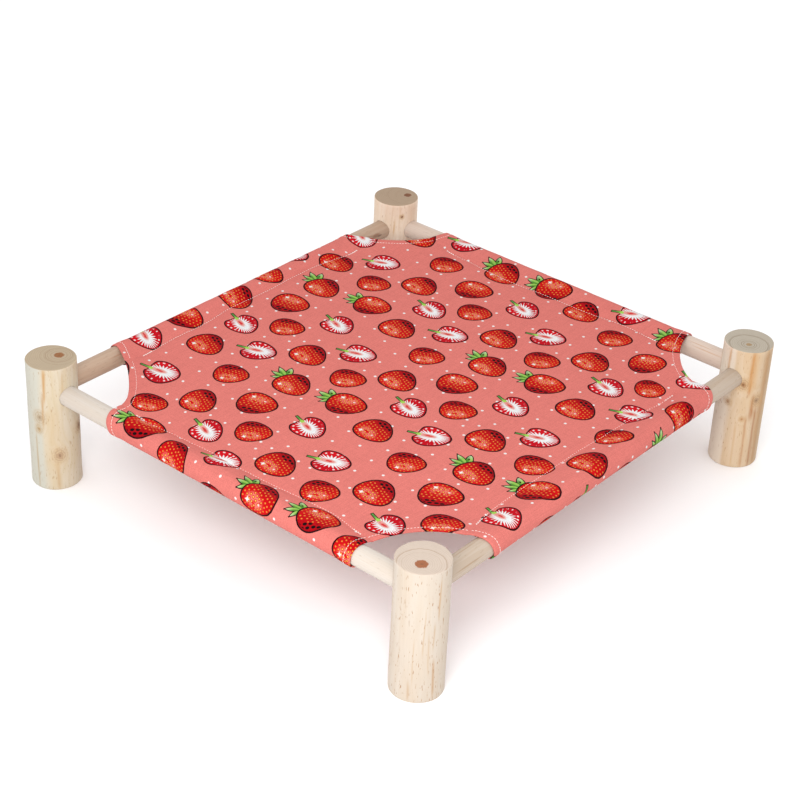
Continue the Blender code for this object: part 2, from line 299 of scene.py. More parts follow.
# ---------------------------------------------------------------- pine
def pine(name, centre, pith, tones, end_tones, pith_patch, rings, knots, streaks_and_painted_shade, fleck=0.5, seed=0.0, grain=0.55,
         pale=None, level=(0.66, 0.70)):
    """Pine of a turned leg. Angles are in degrees round the leg's axis, lengths in millimetres.

    tones: (light, late wood, speck); end_tones: (sawn end, its rings); pith_patch: (radius, colour);
    rings: [(radius, strength)] round the pith; knots: [(angle, height, radius, colour, strength)];
    streaks: [(angle, half width, low, high, colour, strength)]; pale: (angle, half width, colour, strength);
    level: how light the turned side and the sawn ends are, 1 for the tones as given; set leg by leg and for sides and
    ends apart, it holds the wood's tone and also painted light and shade that offset how the lamps light each face.
    """
    m, n, b = new_material(name, 0.62, 0.30)
    x, y, z = n.parts(n.place())
    x, y = (x - centre[0]) * 1000.0, (y - centre[1]) * 1000.0
    z = z * 1000.0
    light, late, speck = (lin(*c) for c in tones)

    low = n.noise(n.xyz(x * 1.0 + seed, y, z * 0.16), 0.055, 2.0) - 0.5
    low2 = n.noise(n.xyz(x + 31.0 + seed, y, z * 0.10), 0.10, 3.0) - 0.5
    fibre = n.noise(n.xyz(x * 1.0, y + seed, z * 0.025), 1.6, 4.0, 0.6) - 0.5
    tick = n.noise(n.xyz(x * 1.0 + 7.0, y + seed, z * 0.16), 1.05, 1.0)

    # annual rings round the pith, wandering along the leg
    px, py = x - pith[0], y - pith[1]
    ring = n.hyp(px, py) + low * 9.0 + low2 * 3.0 + z * 0.012
    knot_fields = []
    for angle, height, radius, colour, strength in knots:
        ca, sa = math.cos(math.radians(angle)), math.sin(math.radians(angle))
        front = n.step(x * ca + y * sa, 6.0, 14.0)
        across = y * ca - x * sa
        up = (z - height) * 0.86
        d = n.hyp(across, up) + low2 * 1.2 + (1.0 - front) * 60.0
        knot_fields.append((d, radius, lin(*colour), strength, up))
        ring = ring + n.math("EXPONENT", d * d * (-1.0 / (2.4 * radius) ** 2)) * 3.4
    f = n.math("FRACT", ring / 2.35)
    line = n.step(f, 0.35, 0.86) * (1.0 - n.step(f, 0.90, 1.0))
    col = n.mix(line * grain, light, late)
    broad = n.step(n.noise(n.xyz(x + seed * 2.0, y, z * 0.22), 0.075, 1.0), 0.40, 0.66)
    col = n.mix(broad * 0.38, col, late)
    col = n.scaled(col, 1.0 + fibre * 0.16)

    # a pale band down one flank; on back_right it is painted light on the left flank
    if pale is not None:
        angle, half, colour, strength = pale
        ca, sa = math.cos(math.radians(angle)), math.sin(math.radians(angle))
        off = (y * ca - x * sa) + low * 14.0
        d = n.math("ABSOLUTE", off)
        band = (1.0 - n.step(d, half * 0.7, half)) * n.step(x * ca + y * sa, 0.0, 6.0)
        col = n.mix(band * strength, col, lin(*colour))

    # streaks of colour down the leg, mostly the wood's own; the broad full-height one on back_right's right flank is
    # painted shade
    for angle, half, lo, hi, colour, strength in streaks_and_painted_shade:
        ca, sa = math.cos(math.radians(angle)), math.sin(math.radians(angle))
        wander = low * 7.0 + low2 * 5.0
        off = ((y * ca - x * sa) + wander) * (1.0 / half)
        band = n.math("EXPONENT", off * off * -1.0) * n.step(x * ca + y * sa, 8.0, 15.0)
        band = band * n.step(z, lo - 6.0, lo + 8.0) * (1.0 - n.step(z, hi - 8.0, hi + 6.0))
        band = band * (0.55 + n.noise(n.xyz(x, y, z * 0.10), 0.8, 2.0) * 0.9)
        col = n.mix(n.math("MULTIPLY", band, strength, clamp=True), col, lin(*colour))

    # short dark ticks of the resin canals
    ticks = n.step(tick, 0.655, 0.73)
    col = n.mix(ticks * fleck, col, speck)

    height_map = fibre * 0.5 - line * 0.35 - ticks * 0.5
    for d, radius, colour, strength, up in knot_fields:
        ragged = d + (n.noise(n.xyz(x, y, z), 0.42, 3.0) - 0.5) * radius * 0.9
        halo = 1.0 - n.step(ragged, radius * 0.8, radius * 2.6)
        col = n.mix(halo * 0.40 * strength, col, lin(232, 190, 134))
        turns = n.math("SINE", ragged * (13.0 / radius)) * 0.5 + 0.5
        band = n.step(ragged, radius * 0.35, radius * 0.75) * (1.0 - n.step(ragged, radius * 1.1, radius * 1.9))
        col = n.mix(band * turns * 0.42 * strength, col, n.scaled(colour, 0.74))
        core = 1.0 - n.step(ragged, radius * 0.20, radius * 1.05)
        inner = n.mix(turns * 0.35, colour, n.scaled(colour, 0.70))
        col = n.mix(core * 0.80 * strength, col, inner)
        heart = 1.0 - n.step(ragged, radius * 0.05, radius * 0.40)
        col = n.mix(heart * 0.60 * strength, col, n.scaled(colour, 0.52))
        height_map = height_map - band * turns * 0.5 + core * 0.3

    # the sawn ends: rings, the pith's brown patch, saw marks
    end = n.math("MAXIMUM", n.step(z, 131.55, 131.85), 1.0 - n.step(z, 0.15, 0.45))
    sawn, ring_tone = (lin(*c) for c in end_tones)
    rad = n.hyp(px, py) + (n.noise(n.xyz(x, y, 3.0 + seed), 0.16, 2.0) - 0.5) * 2.2
    ecol = n.mix(n.noise(n.xyz(x, y, seed), 0.09, 3.0), sawn, n.scaled(sawn, 0.90))
    fine = n.math("FRACT", rad / 1.85)
    ecol = n.mix(n.step(fine, 0.4, 0.9) * (1.0 - n.step(fine, 0.92, 1.0)) * 0.22, ecol, ring_tone)
    for r, strength in rings:
        d = n.math("ABSOLUTE", rad - r)
        ecol = n.mix((1.0 - n.step(d, 0.15, 0.75)) * strength, ecol, ring_tone)
    grit = n.noise(n.xyz(x, y, seed), 2.6, 2.0)
    ecol = n.mix(n.step(grit, 0.60, 0.74) * 0.35, ecol, ring_tone)
    saw = n.math("SINE", (x * 0.83 + y * 0.56 + low * 2.0) * 5.2)
    ecol = n.scaled(ecol, 1.0 + saw * 0.010)
    patch_r, patch_colour = pith_patch
    edge = n.hyp(px, py) + (n.noise(n.xyz(x, y, 9.0 + seed), 0.55, 2.0) - 0.5) * 2.6
    patch = 1.0 - n.step(edge, patch_r * 0.90, patch_r * 1.12)
    pcol = n.mix(n.noise(n.xyz(x, y, 5.0), 0.9, 2.0), lin(*patch_colour), n.scaled(lin(*patch_colour), 0.62))
    star = 1.0 - n.step(edge, patch_r * 0.06, patch_r * 0.34)
    pcol = n.mix(star * 0.50, pcol, n.scaled(lin(*patch_colour), 0.42))
    ecol = n.mix(patch * 0.92, ecol, pcol)
    # level scales sides and ends apart: partly the wood's tone, partly painted light and shade against how the lamps
    # fall
    col = n.mix(end, n.scaled(col, level[0]), n.scaled(ecol, level[1]))
    rough_end = grit * 0.9 + saw * 0.12 - patch * 0.4
    height_map = n.mixf(end, height_map, rough_end)

    n.put(b.inputs["Base Color"], col)
    n.put(b.inputs["Roughness"], n.mixf(end, 0.58 + fibre * 0.10, 0.82))
    n.put(b.inputs["Normal"], n.bump(height_map, 0.55, 0.00012))
    return m


def dowel_wood(name, along_x, offset, tones, seed, grain=0.5, marks=(), level=0.66):
    """Pine dowel. marks: [(position along, angle, half length, half width, colour, strength)], mm and degrees."""
    m, n, b = new_material(name, 0.55, 0.32)
    x, y, z = n.parts(n.place())
    if along_x:
        s, t = x * 1000.0, (y - offset) * 1000.0
    else:
        s, t = y * 1000.0, (x - offset) * 1000.0
    z = (z - RAIL_Z) * 1000.0
    light, late = (lin(*c) for c in tones)
    low = n.noise(n.xyz(s * 0.03, t, z + seed), 0.14, 2.0) - 0.5
    fibre = n.noise(n.xyz(s * 0.02, t + seed, z), 1.9, 4.0, 0.62) - 0.5
    tick = n.noise(n.xyz(s * 0.14 + seed, t, z), 1.1, 1.0)
    # a dowel is cut from a board, so its rings run nearly straight across it
    ring = t * 0.62 + z * 0.78 + low * 5.5 + s * 0.006
    f = n.math("FRACT", ring / 2.1 + seed * 0.37)
    line = n.step(f, 0.30, 0.85) * (1.0 - n.step(f, 0.90, 1.0))
    col = n.mix(line * grain, light, late)
    col = n.mix(n.step(n.noise(n.xyz(s * 0.05, t, z + seed), 0.18, 1.0), 0.42, 0.70) * 0.30, col, late)
    col = n.scaled(col, 1.0 + fibre * 0.15)
    ticks = n.step(tick, 0.66, 0.74)
    col = n.mix(ticks * 0.38, col, n.scaled(late, 0.62))
    for pos, angle, half_l, half_w, colour, strength in marks:
        ca, sa = math.cos(math.radians(angle)), math.sin(math.radians(angle))
        front = n.step(t * ca + z * sa, 1.0, 5.0)
        across = ((z * ca - t * sa) + low * 2.0) * (1.0 / half_w)
        on = ((s - pos) + fibre * 4.0) * (1.0 / half_l)
        d = n.hyp(across, on)
        col = n.mix((1.0 - n.step(d, 0.35, 1.0)) * front * strength, col, lin(*colour))
    # level: the dowel's tone and also painted light and shade, set rail by rail against how the lamps light it
    n.put(b.inputs["Base Color"], n.scaled(col, level))
    n.put(b.inputs["Roughness"], 0.54 + fibre * 0.12)
    n.put(b.inputs["Normal"], n.bump(fibre * 0.5 - line * 0.3 - ticks * 0.4, 0.5, 0.0001))
    return m


# ---------------------------------------------------------------- legs
def boolean_cut(ob, cutters):
    for c in cutters:
        mod = ob.modifiers.new("cut", "BOOLEAN")
        mod.operation = "DIFFERENCE"
        mod.solver = "EXACT"
        mod.object = c
    dg = bpy.context.evaluated_depsgraph_get()
    me = bpy.data.meshes.new_from_object(ob.evaluated_get(dg), preserve_all_data_layers=True, depsgraph=dg)
    ob.modifiers.clear()
    old = ob.data
    ob.data = me
    bpy.data.meshes.remove(old)
    for c in cutters:
        data = c.data
        bpy.data.objects.remove(c, do_unlink=True)
        bpy.data.meshes.remove(data)


def cutter(radius, start, end, segments=72):
    a, b = Vector(start), Vector(end)
    bm = bmesh.new()
    bmesh.ops.create_cone(bm, cap_ends=True, segments=segments, radius1=radius, radius2=radius, depth=(b - a).length)
    q = Vector((0, 0, 1)).rotation_difference((b - a).normalized())
    bmesh.ops.transform(bm, matrix=Matrix.Translation((a + b) / 2) @ q.to_matrix().to_4x4(), verts=bm.verts[:])
    me = bpy.data.meshes.new("cutter")
    bm.to_mesh(me)
    bm.free()
    ob = bpy.data.objects.new("cutter", me)
    bpy.context.scene.collection.objects.link(ob)
    return ob


def make_leg(corner, mat, seed, dents):
    """A turned leg: barely out of round, sawn ends with a worn edge, a shallow dip round each knot."""
    sx, sy = CORNERS[corner]
    cx, cy = sx * HX, sy * HY
    around, edge = 168, 0.0009
    noise = wave_noise(seed, 7, 1.0, 3.2)
    zs = [0.0, 0.00014, 0.00042, 0.0009] + list(np.linspace(0.0028, LEG_H - 0.0028, 74))
    zs += [LEG_H - 0.0009, LEG_H - 0.00042, LEG_H - 0.00014, LEG_H]
    inset = [edge, 0.00045, 0.00014, 0.0] + [0.0] * 74 + [0.0, 0.00014, 0.00045, edge]
    ang = np.arange(around) * 2 * math.pi / around
    verts, faces = [], []
    for z, d in zip(zs, inset):
        out = 0.00010 * (1 + noise(2.2 * np.cos(ang) + 40 * z, 2.2 * np.sin(ang)))
        out = np.clip(out, 0.0, 0.00032)
        wear = d * (1.0 + 0.22 * noise(3 * np.cos(ang) + 9, 3 * np.sin(ang) + 60 * z))
        r = LEG_R - out - wear
        for a0, z0, r0 in dents:
            da = (np.degrees(ang) - a0 + 180) % 360 - 180
            dist = np.hypot(np.radians(da) * LEG_R, z - z0 * MM)
            r = r - 0.00022 * np.exp(-(dist / (r0 * 1.7 * MM)) ** 2) + 0.00016 * np.exp(-(dist / (r0 * 0.7 * MM)) ** 2)
        r = np.minimum(r, LEG_R)
        verts += [(cx + rr * math.cos(a), cy + rr * math.sin(a), z) for rr, a in zip(r, ang)]
    n = len(zs)
    for k in range(n - 1):
        for i in range(around):
            j = (i + 1) % around
            faces.append((k * around + i, k * around + j, (k + 1) * around + j, (k + 1) * around + i))
    # sawn ends with a hint of the saw's waviness, always inside the leg's height
    for base_row, z, sign in ((0, 0.0, 1), (n - 1, LEG_H, -1)):
        prev = [base_row * around + i for i in range(around)]
        for step in range(1, 13):
            k = 1 - step / 13
            ring = []
            for i, a in enumerate(ang):
                r = (LEG_R - edge) * k
                px, py = r * math.cos(a), r * math.sin(a)
                dip = 0.00006 * (1 + math.sin(900 * (0.8 * px + 0.6 * py) + 2 * math.sin(120 * py)))
                dip *= min(1.0, 4 * (1 - k)) if z > 0 else 0.0
                ring.append(len(verts))
                verts.append((cx + px, cy + py, z + sign * dip))
            for i in range(around):
                j = (i + 1) % around
                f = (prev[i], prev[j], ring[j], ring[i])
                faces.append(f if sign < 0 else tuple(reversed(f)))
            prev = ring
        c = len(verts)
        verts.append((cx, cy, z + (sign * 0.00006 if z > 0 else 0.0)))
        for i in range(around):
            j = (i + 1) % around
            faces.append((prev[i], prev[j], c) if sign < 0 else (prev[j], prev[i], c))
    leg = make_mesh("pine_leg_" + corner, verts, faces, [mat])
    ends = TENON_END - 0.0003
    boolean_cut(leg, [
        cutter(SOCKET_R, (cx - sx * ends, cy, RAIL_Z), (cx - sx * 0.034, cy, RAIL_Z)),
        cutter(SOCKET_R, (cx, cy - sy * ends, RAIL_Z), (cx, cy - sy * 0.034, RAIL_Z)),
    ])
    leg.data.shade_smooth()
    leg.data.set_sharp_from_angle(angle=math.radians(42))
    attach(leg, "root")
    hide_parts("leg_" + corner)
    return leg


def make_rail(side, mat, seed):
    """A sanded dowel, very slightly flattened along its length, with chamfered ends."""
    first, _, along_x = SIDES[side]
    sx, sy = CORNERS[first]
    half = (HX if along_x else HY) - TENON_END
    noise = wave_noise(seed, 6, 1.0, 2.6)
    around = 64
    ss = [-half, -half + 0.0003, -half + 0.0008] + list(np.linspace(-half + 0.003, half - 0.003, 150))
    ss += [half - 0.0008, half - 0.0003, half]
    cut = [0.0008, 0.0003, 0.0] + [0.0] * 150 + [0.0, 0.0003, 0.0008]
    ang = np.arange(around) * 2 * math.pi / around
    verts, faces = [], []
    for s, d in zip(ss, cut):
        out = np.clip(0.00006 * (1 + noise(1.5 * np.cos(ang) + 22 * s, 1.5 * np.sin(ang))), 0, 0.00018)
        for a, o in zip(ang, out):
            r = RAIL_R - o - d
            t, z = r * math.cos(a), RAIL_Z + r * math.sin(a)
            verts.append((s, sy * HY + t, z) if along_x else (sx * HX + t, s, z))
    n = len(ss)
    for k in range(n - 1):
        for i in range(around):
            j = (i + 1) % around
            f = (k * around + i, (k + 1) * around + i, (k + 1) * around + j, k * around + j)
            faces.append(tuple(reversed(f)) if along_x else f)
    for row, flip in ((0, along_x), (n - 1, not along_x)):
        centre = len(verts)
        s = ss[row]
        verts.append((s, sy * HY, RAIL_Z) if along_x else (sx * HX, s, RAIL_Z))
        for i in range(around):
            j = (i + 1) % around
            f = (row * around + i, row * around + j, centre)
            faces.append(tuple(reversed(f)) if flip else f)
    rail = make_mesh("dowel_rail_" + side, verts, faces, [mat])
    bm = bmesh.new()
    bm.from_mesh(rail.data)
    bmesh.ops.recalc_face_normals(bm, faces=bm.faces[:])
    bm.to_mesh(rail.data)
    bm.free()
    rail.data.shade_smooth()
    rail.data.set_sharp_from_angle(angle=math.radians(40))
    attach(rail, "root")
    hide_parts("rail_" + side)
    return rail


# ---------------------------------------------------------------- the cover's shape
def smoothed(points):
    """A smooth curve through measured points, on a fine grid."""
    grid = np.arange(-240, 241) * 1.0
    xs, ys = zip(*points)
    raw = np.interp(grid, xs, ys)
    w = np.exp(-0.5 * (np.arange(-36, 37) / 5.5) ** 2)
    out = np.convolve(np.pad(raw, 36, mode="edge"), w / w.sum(), mode="valid")
    return grid * MM, out * MM


SEAM_CURVE = {side: smoothed(p) for side, p in SEAM.items()}
PUCKER = {side: wave_noise(40 + i, 6, 260.0, 620.0) for i, side in enumerate(SIDES)}
RIPPLE = wave_noise(77, 7, 22.0, 60.0)


def seam_in(side, s):
    grid, d = SEAM_CURVE[side]
    return np.interp(s, grid, d) + 0.00012 * PUCKER[side](np.asarray(s) * 0.45, 3.0)


def plan(side, s, t):
    """World X and Y of a point given along a side's rail and inwards from its axis."""
    s, t = np.broadcast_arrays(np.asarray(s, float), np.asarray(t, float))
    if side == "front":
        return s, -(HY - t)
    if side == "back":
        return s, HY - t
    if side == "left":
        return -(HX - t), s
    return HX - t, s


OUTLINE_GRID = np.radians(np.arange(-20, 110.5, 0.5))
OUTLINE_CURVE = {}
for _c, _points in OUTLINE.items():
    _deg, _mm = zip(*_points)
    _w = np.exp(-0.5 * (np.arange(-20, 21) / 7.0) ** 2)
    _mm = np.interp(np.degrees(OUTLINE_GRID), _deg, _mm)
    OUTLINE_CURVE[_c] = np.convolve(np.pad(_mm, 20, mode="edge"), _w / _w.sum(), mode="valid") * MM


def arc_r(corner, phi):
    return np.interp(phi, OUTLINE_GRID, OUTLINE_CURVE[corner])


PHI = np.linspace(0, math.pi / 2, 721)
ARC_TABLE = {}
for _c in CORNERS:
    _r = arc_r(_c, PHI)
    ARC_TABLE[_c] = (_r * np.cos(PHI), _r * np.sin(PHI))


def reach(corner, t, along_x):
    """How far the cut-out's edge lies from the leg's axis along a rail, at t inwards from that rail's axis."""
    p, q = ARC_TABLE[corner]
    half = len(PHI) * 2 // 3
    if along_x:
        return np.interp(t, q[:half], p[:half])
    return np.interp(t, p[::-1][:half], q[::-1][:half])


def edge_distance(x, y):
    """Distance from the nearest cut-out's edge, measured from its leg's axis."""
    best = np.full(np.shape(x), 1.0)
    for c, (sx, sy) in CORNERS.items():
        p, q = HX - sx * x, HY - sy * y
        phi = np.clip(np.arctan2(q, p), 0, math.pi / 2)
        best = np.minimum(best, np.hypot(p, q) - arc_r(c, phi))
    return best


def panel_height(x, y):
    """Height of the middle of the lying panel's cloth."""
    x, y = np.asarray(x, float), np.asarray(y, float)
    e = np.maximum(edge_distance(x, y), 0.0)
    z = PANEL_Z + 0.0050 * np.exp(-(e / 0.024) ** 1.5)
    z = z - 0.0004 * np.clip(1 - (x / 0.2) ** 2, 0, 1) * np.clip(1 - (y / 0.22) ** 2, 0, 1)
    return z + 0.00016 * RIPPLE(x, y)


def mouth_distance(side, s):
    """Distance along the rail from the nearer mouth of a side's sleeve, roughly."""
    first, second, along_x = SIDES[side]
    half = HX if along_x else HY
    k = 0 if along_x else 1
    return np.minimum(s - (-half + CUT[first][k]), (half - CUT[second][k]) - s)


GROOVE = 0.00085


def groove(side, s):
    """Depth of the groove that the stitching pulls; it fades out where the seam isn't stitched."""
    a, b = (v * MM for v in SEWN[side])
    s = np.asarray(s, float)
    k = smooth_step(s, a - 0.014, a) * (1 - smooth_step(s, b, b + 0.014))
    return GROOVE * (0.30 + 0.70 * k) + 0.00010 * PUCKER[side](s, 1.0)


def crease_height(side, s):
    x, y = plan(side, s, seam_in(side, s))
    return panel_height(x, y) - groove(side, s)


def lower_ply(side, s):
    """How far the lower ply lies under the upper one at the seam; hems make it thicker near the mouths."""
    d = mouth_distance(side, s)
    return -(0.00082 + 0.0017 * (1 - smooth_step(d, 0.010, 0.024)))


def sleeve_radius(side, s):
    d = mouth_distance(side, s)
    flare = 0.00070 * (1 - smooth_step(d, 0.008, 0.022))
    return 0.01062 + flare + 0.00010 * PUCKER[side](np.asarray(s) * 0.4, 9.0)


Q_TOP, Q_WRAP, Q_LOW = 0.20, 0.80, 1.0


def profile(side, s, q):
    """The sleeve's section at s along the rail. q runs from 0 at the seam over the rail to 1 at the seam again.

    Returns inwards distance, height, length of cloth from the seam, and the outward normal (inwards, up).
    """
    s, q = np.broadcast_arrays(np.asarray(s, float), np.asarray(q, float))
    d, rise = seam_in(side, s), crease_height(side, s) - RAIL_Z
    low = rise + lower_ply(side, s)
    rho = sleeve_radius(side, s)
    h0, h1 = np.hypot(d, rise), np.hypot(d, low)
    a0 = np.arctan2(rise, d) + np.arccos(rho / h0)
    a1 = np.arctan2(low, d) - np.arccos(rho / h1) + 2 * math.pi
    l0, l1 = np.sqrt(h0 ** 2 - rho ** 2), np.sqrt(h1 ** 2 - rho ** 2)
    k0 = np.clip(q / Q_TOP, 0, 1)
    k1 = np.clip((q - Q_TOP) / (Q_WRAP - Q_TOP), 0, 1)
    k2 = np.clip((q - Q_WRAP) / (Q_LOW - Q_WRAP), 0, 1)
    ang = a0 + (a1 - a0) * k1
    # the cloth hangs a little away from the rail underneath
    slack = 0.0007 * np.clip(np.sin((ang - math.radians(185)) / math.radians(150) * math.pi), 0, 1)
    slack = np.where((ang > math.radians(185)) & (ang < math.radians(335)), slack, 0.0)
    rad = rho + slack
    t_wrap, z_wrap = rad * np.cos(ang), rad * np.sin(ang)
    ta, za = rho * np.cos(a0), rho * np.sin(a0)
    bow = 0.00075 * np.sin(math.pi * k0 ** 0.72)
    t_top, z_top = d + (ta - d) * k0, rise + (za - rise) * k0 + bow
    tb, zb = rad * np.cos(a1), rad * np.sin(a1)
    t_low, z_low = tb + (d - tb) * k2, zb + (low - zb) * k2
    top, lowr = q < Q_TOP, q > Q_WRAP
    t = np.where(top, t_top, np.where(lowr, t_low, t_wrap))
    z = np.where(top, z_top, np.where(lowr, z_low, z_wrap))
    length = l0 * k0 + rho * (a1 - a0) * k1 + l1 * k2
    nt = np.where(top, np.cos(a0), np.where(lowr, np.cos(a1), np.cos(ang)))
    nz = np.where(top, np.sin(a0), np.where(lowr, np.sin(a1), np.sin(ang)))
    return t, z + RAIL_Z, length, nt, nz, d


def mouth_at(side, corner, q):
    """Coordinate along the rail of the sleeve's mouth near a corner, at each q."""
    _, _, along_x = SIDES[side]
    sx, sy = CORNERS[corner]
    sign, half = (sx, HX) if along_x else (sy, HY)
    q = np.asarray(q, float)
    s = np.full(q.shape, sign * (half - CUT[corner][0 if along_x else 1]))
    wobble = wave_noise(len(side) * 7 + len(corner), 4, 5.0, 14.0)
    for _ in range(5):
        t, z, _, _, _, _ = profile(side, s, np.minimum(q, 1.0))
        ang = np.degrees(np.arctan2(z - RAIL_Z, t)) % 360
        slant = SLANT[(side, corner)] * smooth_step(ang, 80.0, 235.0)
        slant = np.where(q < Q_TOP, 0.0, slant) + 0.013 * smooth_step(q, 0.62, 0.90)
        r = reach(corner, np.maximum(t, 0.0), along_x) + slant + 0.00025 * wobble(q * 3.0, 0.0) * np.sin(
            math.pi * np.clip(q, 0, 1))
        s = sign * (half - r)
    return s


def seam_ends(side):
    """Where the seam meets the two cut-outs, along the rail."""
    first, second, _ = SIDES[side]
    return float(mouth_at(side, first, [0.0])[0]), float(mouth_at(side, second, [0.0])[0])


STEP = 0.0026
HEM_ROWS = (0.0, 0.0012, 0.0026, 0.0042, 0.0058, 0.0074)
PLY = 0.00080


class Cloth:
    def __init__(self):
        self.verts, self.uvs, self.faces = [], [], []

    def add(self, x, y, z, u, v):
        """Adds points and returns their indices."""
        x, y, z, u, v = (np.asarray(a, float) for a in np.broadcast_arrays(x, y, z, u, v))
        start = len(self.verts)
        self.verts += list(zip(x.ravel(), y.ravel(), z.ravel()))
        self.uvs += list(zip(u.ravel(), v.ravel()))
        return np.arange(start, start + x.size).reshape(x.shape)

    def grid(self, ids, flip):
        a, b, c, d = ids[:-1, :-1], ids[1:, :-1], ids[1:, 1:], ids[:-1, 1:]
        quads = np.stack([a, b, c, d] if flip else [a, d, c, b], -1).reshape(-1, 4)
        self.faces += [tuple(f) for f in quads]


def even_odd(px, py, poly):
    inside = np.zeros(px.shape, bool)
    x0, y0 = poly[:, 0], poly[:, 1]
    x1, y1 = np.roll(x0, -1), np.roll(y0, -1)
    for a, b, c, d in zip(x0, y0, x1, y1):
        if b == d:
            continue
        hit = ((b > py) != (d > py)) & (px < a + (py - b) / (d - b) * (c - a))
        inside ^= hit
    return inside


def polyline_distance(px, py, poly):
    best = np.full(px.shape, 1.0)
    a = poly
    b = np.roll(poly, -1, axis=0)
    for (ax, ay), (bx, by) in zip(a, b):
        dx, dy = bx - ax, by - ay
        l2 = dx * dx + dy * dy
        k = np.clip(((px - ax) * dx + (py - ay) * dy) / l2, 0, 1)
        best = np.minimum(best, np.hypot(px - ax - k * dx, py - ay - k * dy))
    return best


def make_cover(mats):
    cloth = Cloth()
    # the outline of the lying panel, counter-clockwise: seams and cut-outs in turn
    seam_s, seam_ids, outline, kinds = {}, {}, [], []
    for side in SIDES:
        a, b = seam_ends(side)
        seam_s[side] = np.linspace(a, b, int(round((b - a) / STEP)) + 1)
    order = (("front", 1, "front_right"), ("right", 1, "back_right"), ("back", -1, "back_left"),
             ("left", -1, "front_left"))
    arcs = {}
    for side, way, corner in order:
        s = seam_s[side][::way]
        x, y = plan(side, s, seam_in(side, s))
        start = len(outline)
        outline += list(zip(x, y))
        ids = np.arange(start, start + len(s))
        seam_ids[side] = ids[::way]
        # the cut-out that follows, between the ends of this seam and of the next
        sx, sy = CORNERS[corner]
        nxt = {"front": "right", "right": "back", "back": "left", "left": "front"}[side]
        nway = dict((o[0], o[1]) for o in order)[nxt]
        s_next = seam_s[nxt][::nway][0]
        end = plan(nxt, s_next, seam_in(nxt, s_next))
        p0, p1 = (x[-1], y[-1]), (float(end[0]), float(end[1]))
        f0 = math.atan2(HY - sy * p0[1], HX - sx * p0[0])
        f1 = math.atan2(HY - sy * p1[1], HX - sx * p1[0])
        count = int(round(abs(f1 - f0) * 0.07 / STEP)) + 1
        phi = np.linspace(f0, f1, count + 1)[1:-1]
        r = arc_r(corner, phi)
        ax, ay = sx * (HX - r * np.cos(phi)), sy * (HY - r * np.sin(phi))
        first = ids[-1]
        start = len(outline)
        outline += list(zip(ax, ay))
        arcs[corner] = (first, np.arange(start, start + len(phi)), np.concatenate([[f0], phi, [f1]]))
    outline = np.array(outline)
    count = len(outline)
    arc_ids = {}
    for corner, (first, mid, phi) in arcs.items():
        last = (mid[-1] + 1) % count
        arc_ids[corner] = (np.concatenate([[first], mid, [last]]), phi)

    # rows of points close to the seams, for the groove the stitching pulls, then an even field
    extra = []
    for side in SIDES:
        s = seam_s[side][1:-1]
        for off in (0.0009, 0.0021):
            x, y = plan(side, s, seam_in(side, s) + off)
            extra.append(np.stack([x, y], -1))
    extra = np.concatenate(extra)
    keep = edge_distance(extra[:, 0], extra[:, 1]) > 0.0016
    extra = extra[keep]
    gap = 0.0036
    gx, gy = np.meshgrid(np.arange(-0.21, 0.21, gap), np.arange(-0.235, 0.235, gap * 0.866))
    gx = gx + (np.arange(gx.shape[0]) % 2)[:, None] * gap / 2
    gx, gy = gx.ravel(), gy.ravel()
    ok = even_odd(gx, gy, outline)
    gx, gy = gx[ok], gy[ok]
    ok = polyline_distance(gx, gy, outline) > 0.0018
    for side in SIDES:
        x0, y0 = plan(side, 0.0, 0.0)
        if SIDES[side][2]:
            t = (gy - y0) * (1 if side == "front" else -1)
            s = gx
        else:
            t = (gx - x0) * (1 if side == "left" else -1)
            s = gy
        ok &= t - seam_in(side, s) > 0.0036
    field = np.stack([gx[ok], gy[ok]], -1)
    pts = np.concatenate([outline, extra, field])
    edges = [(k, (k + 1) % count) for k in range(count)]
    out, _, tris, origin, _, _ = delaunay_2d_cdt([Vector(p) for p in pts], edges, [], 0, 1e-8)
    out = np.array([(p.x, p.y) for p in out])
    tri = np.array(tris)
    mid = out[tri].mean(1)
    tri = tri[even_odd(mid[:, 0], mid[:, 1], outline)]
    a, b, c = out[tri[:, 0]], out[tri[:, 1]], out[tri[:, 2]]
    area = (b[:, 0] - a[:, 0]) * (c[:, 1] - a[:, 1]) - (b[:, 1] - a[:, 1]) * (c[:, 0] - a[:, 0])
    tri[area < 0] = tri[area < 0][:, ::-1]
    where = np.zeros(len(pts), int)
    for i, sources in enumerate(origin):
        for k in sources:
            where[k] = i

    def near_seam(x, y):
        """Distance from the nearest side seam's line, and the groove's depth there."""
        best, depth = np.full(x.shape, 1.0), np.zeros(x.shape)
        for side in SIDES:
            x0, y0 = plan(side, 0.0, 0.0)
            if SIDES[side][2]:
                t, s = (y - y0) * (1 if side == "front" else -1), x
            else:
                t, s = (x - x0) * (1 if side == "left" else -1), y
            d = np.abs(t - seam_in(side, s))
            depth = np.where(d < best, groove(side, s), depth)
            best = np.minimum(best, d)
        return best, depth

    x, y = out[:, 0], out[:, 1]
    dist, depth = near_seam(x, y)
    z = panel_height(x, y) - depth * np.exp(-(dist / 0.0017) ** 1.4)
    ids = cloth.add(x, y, z, x, y)
    cloth.faces += [tuple(ids[t]) for t in tri]
    for side in SIDES:
        k = ids[where[seam_ids[side]]]
        zc = crease_height(side, seam_s[side])
        for i, zz in zip(k, zc):
            vx, vy, _ = cloth.verts[i]
            cloth.verts[i] = (vx, vy, float(zz))
        seam_ids[side] = k

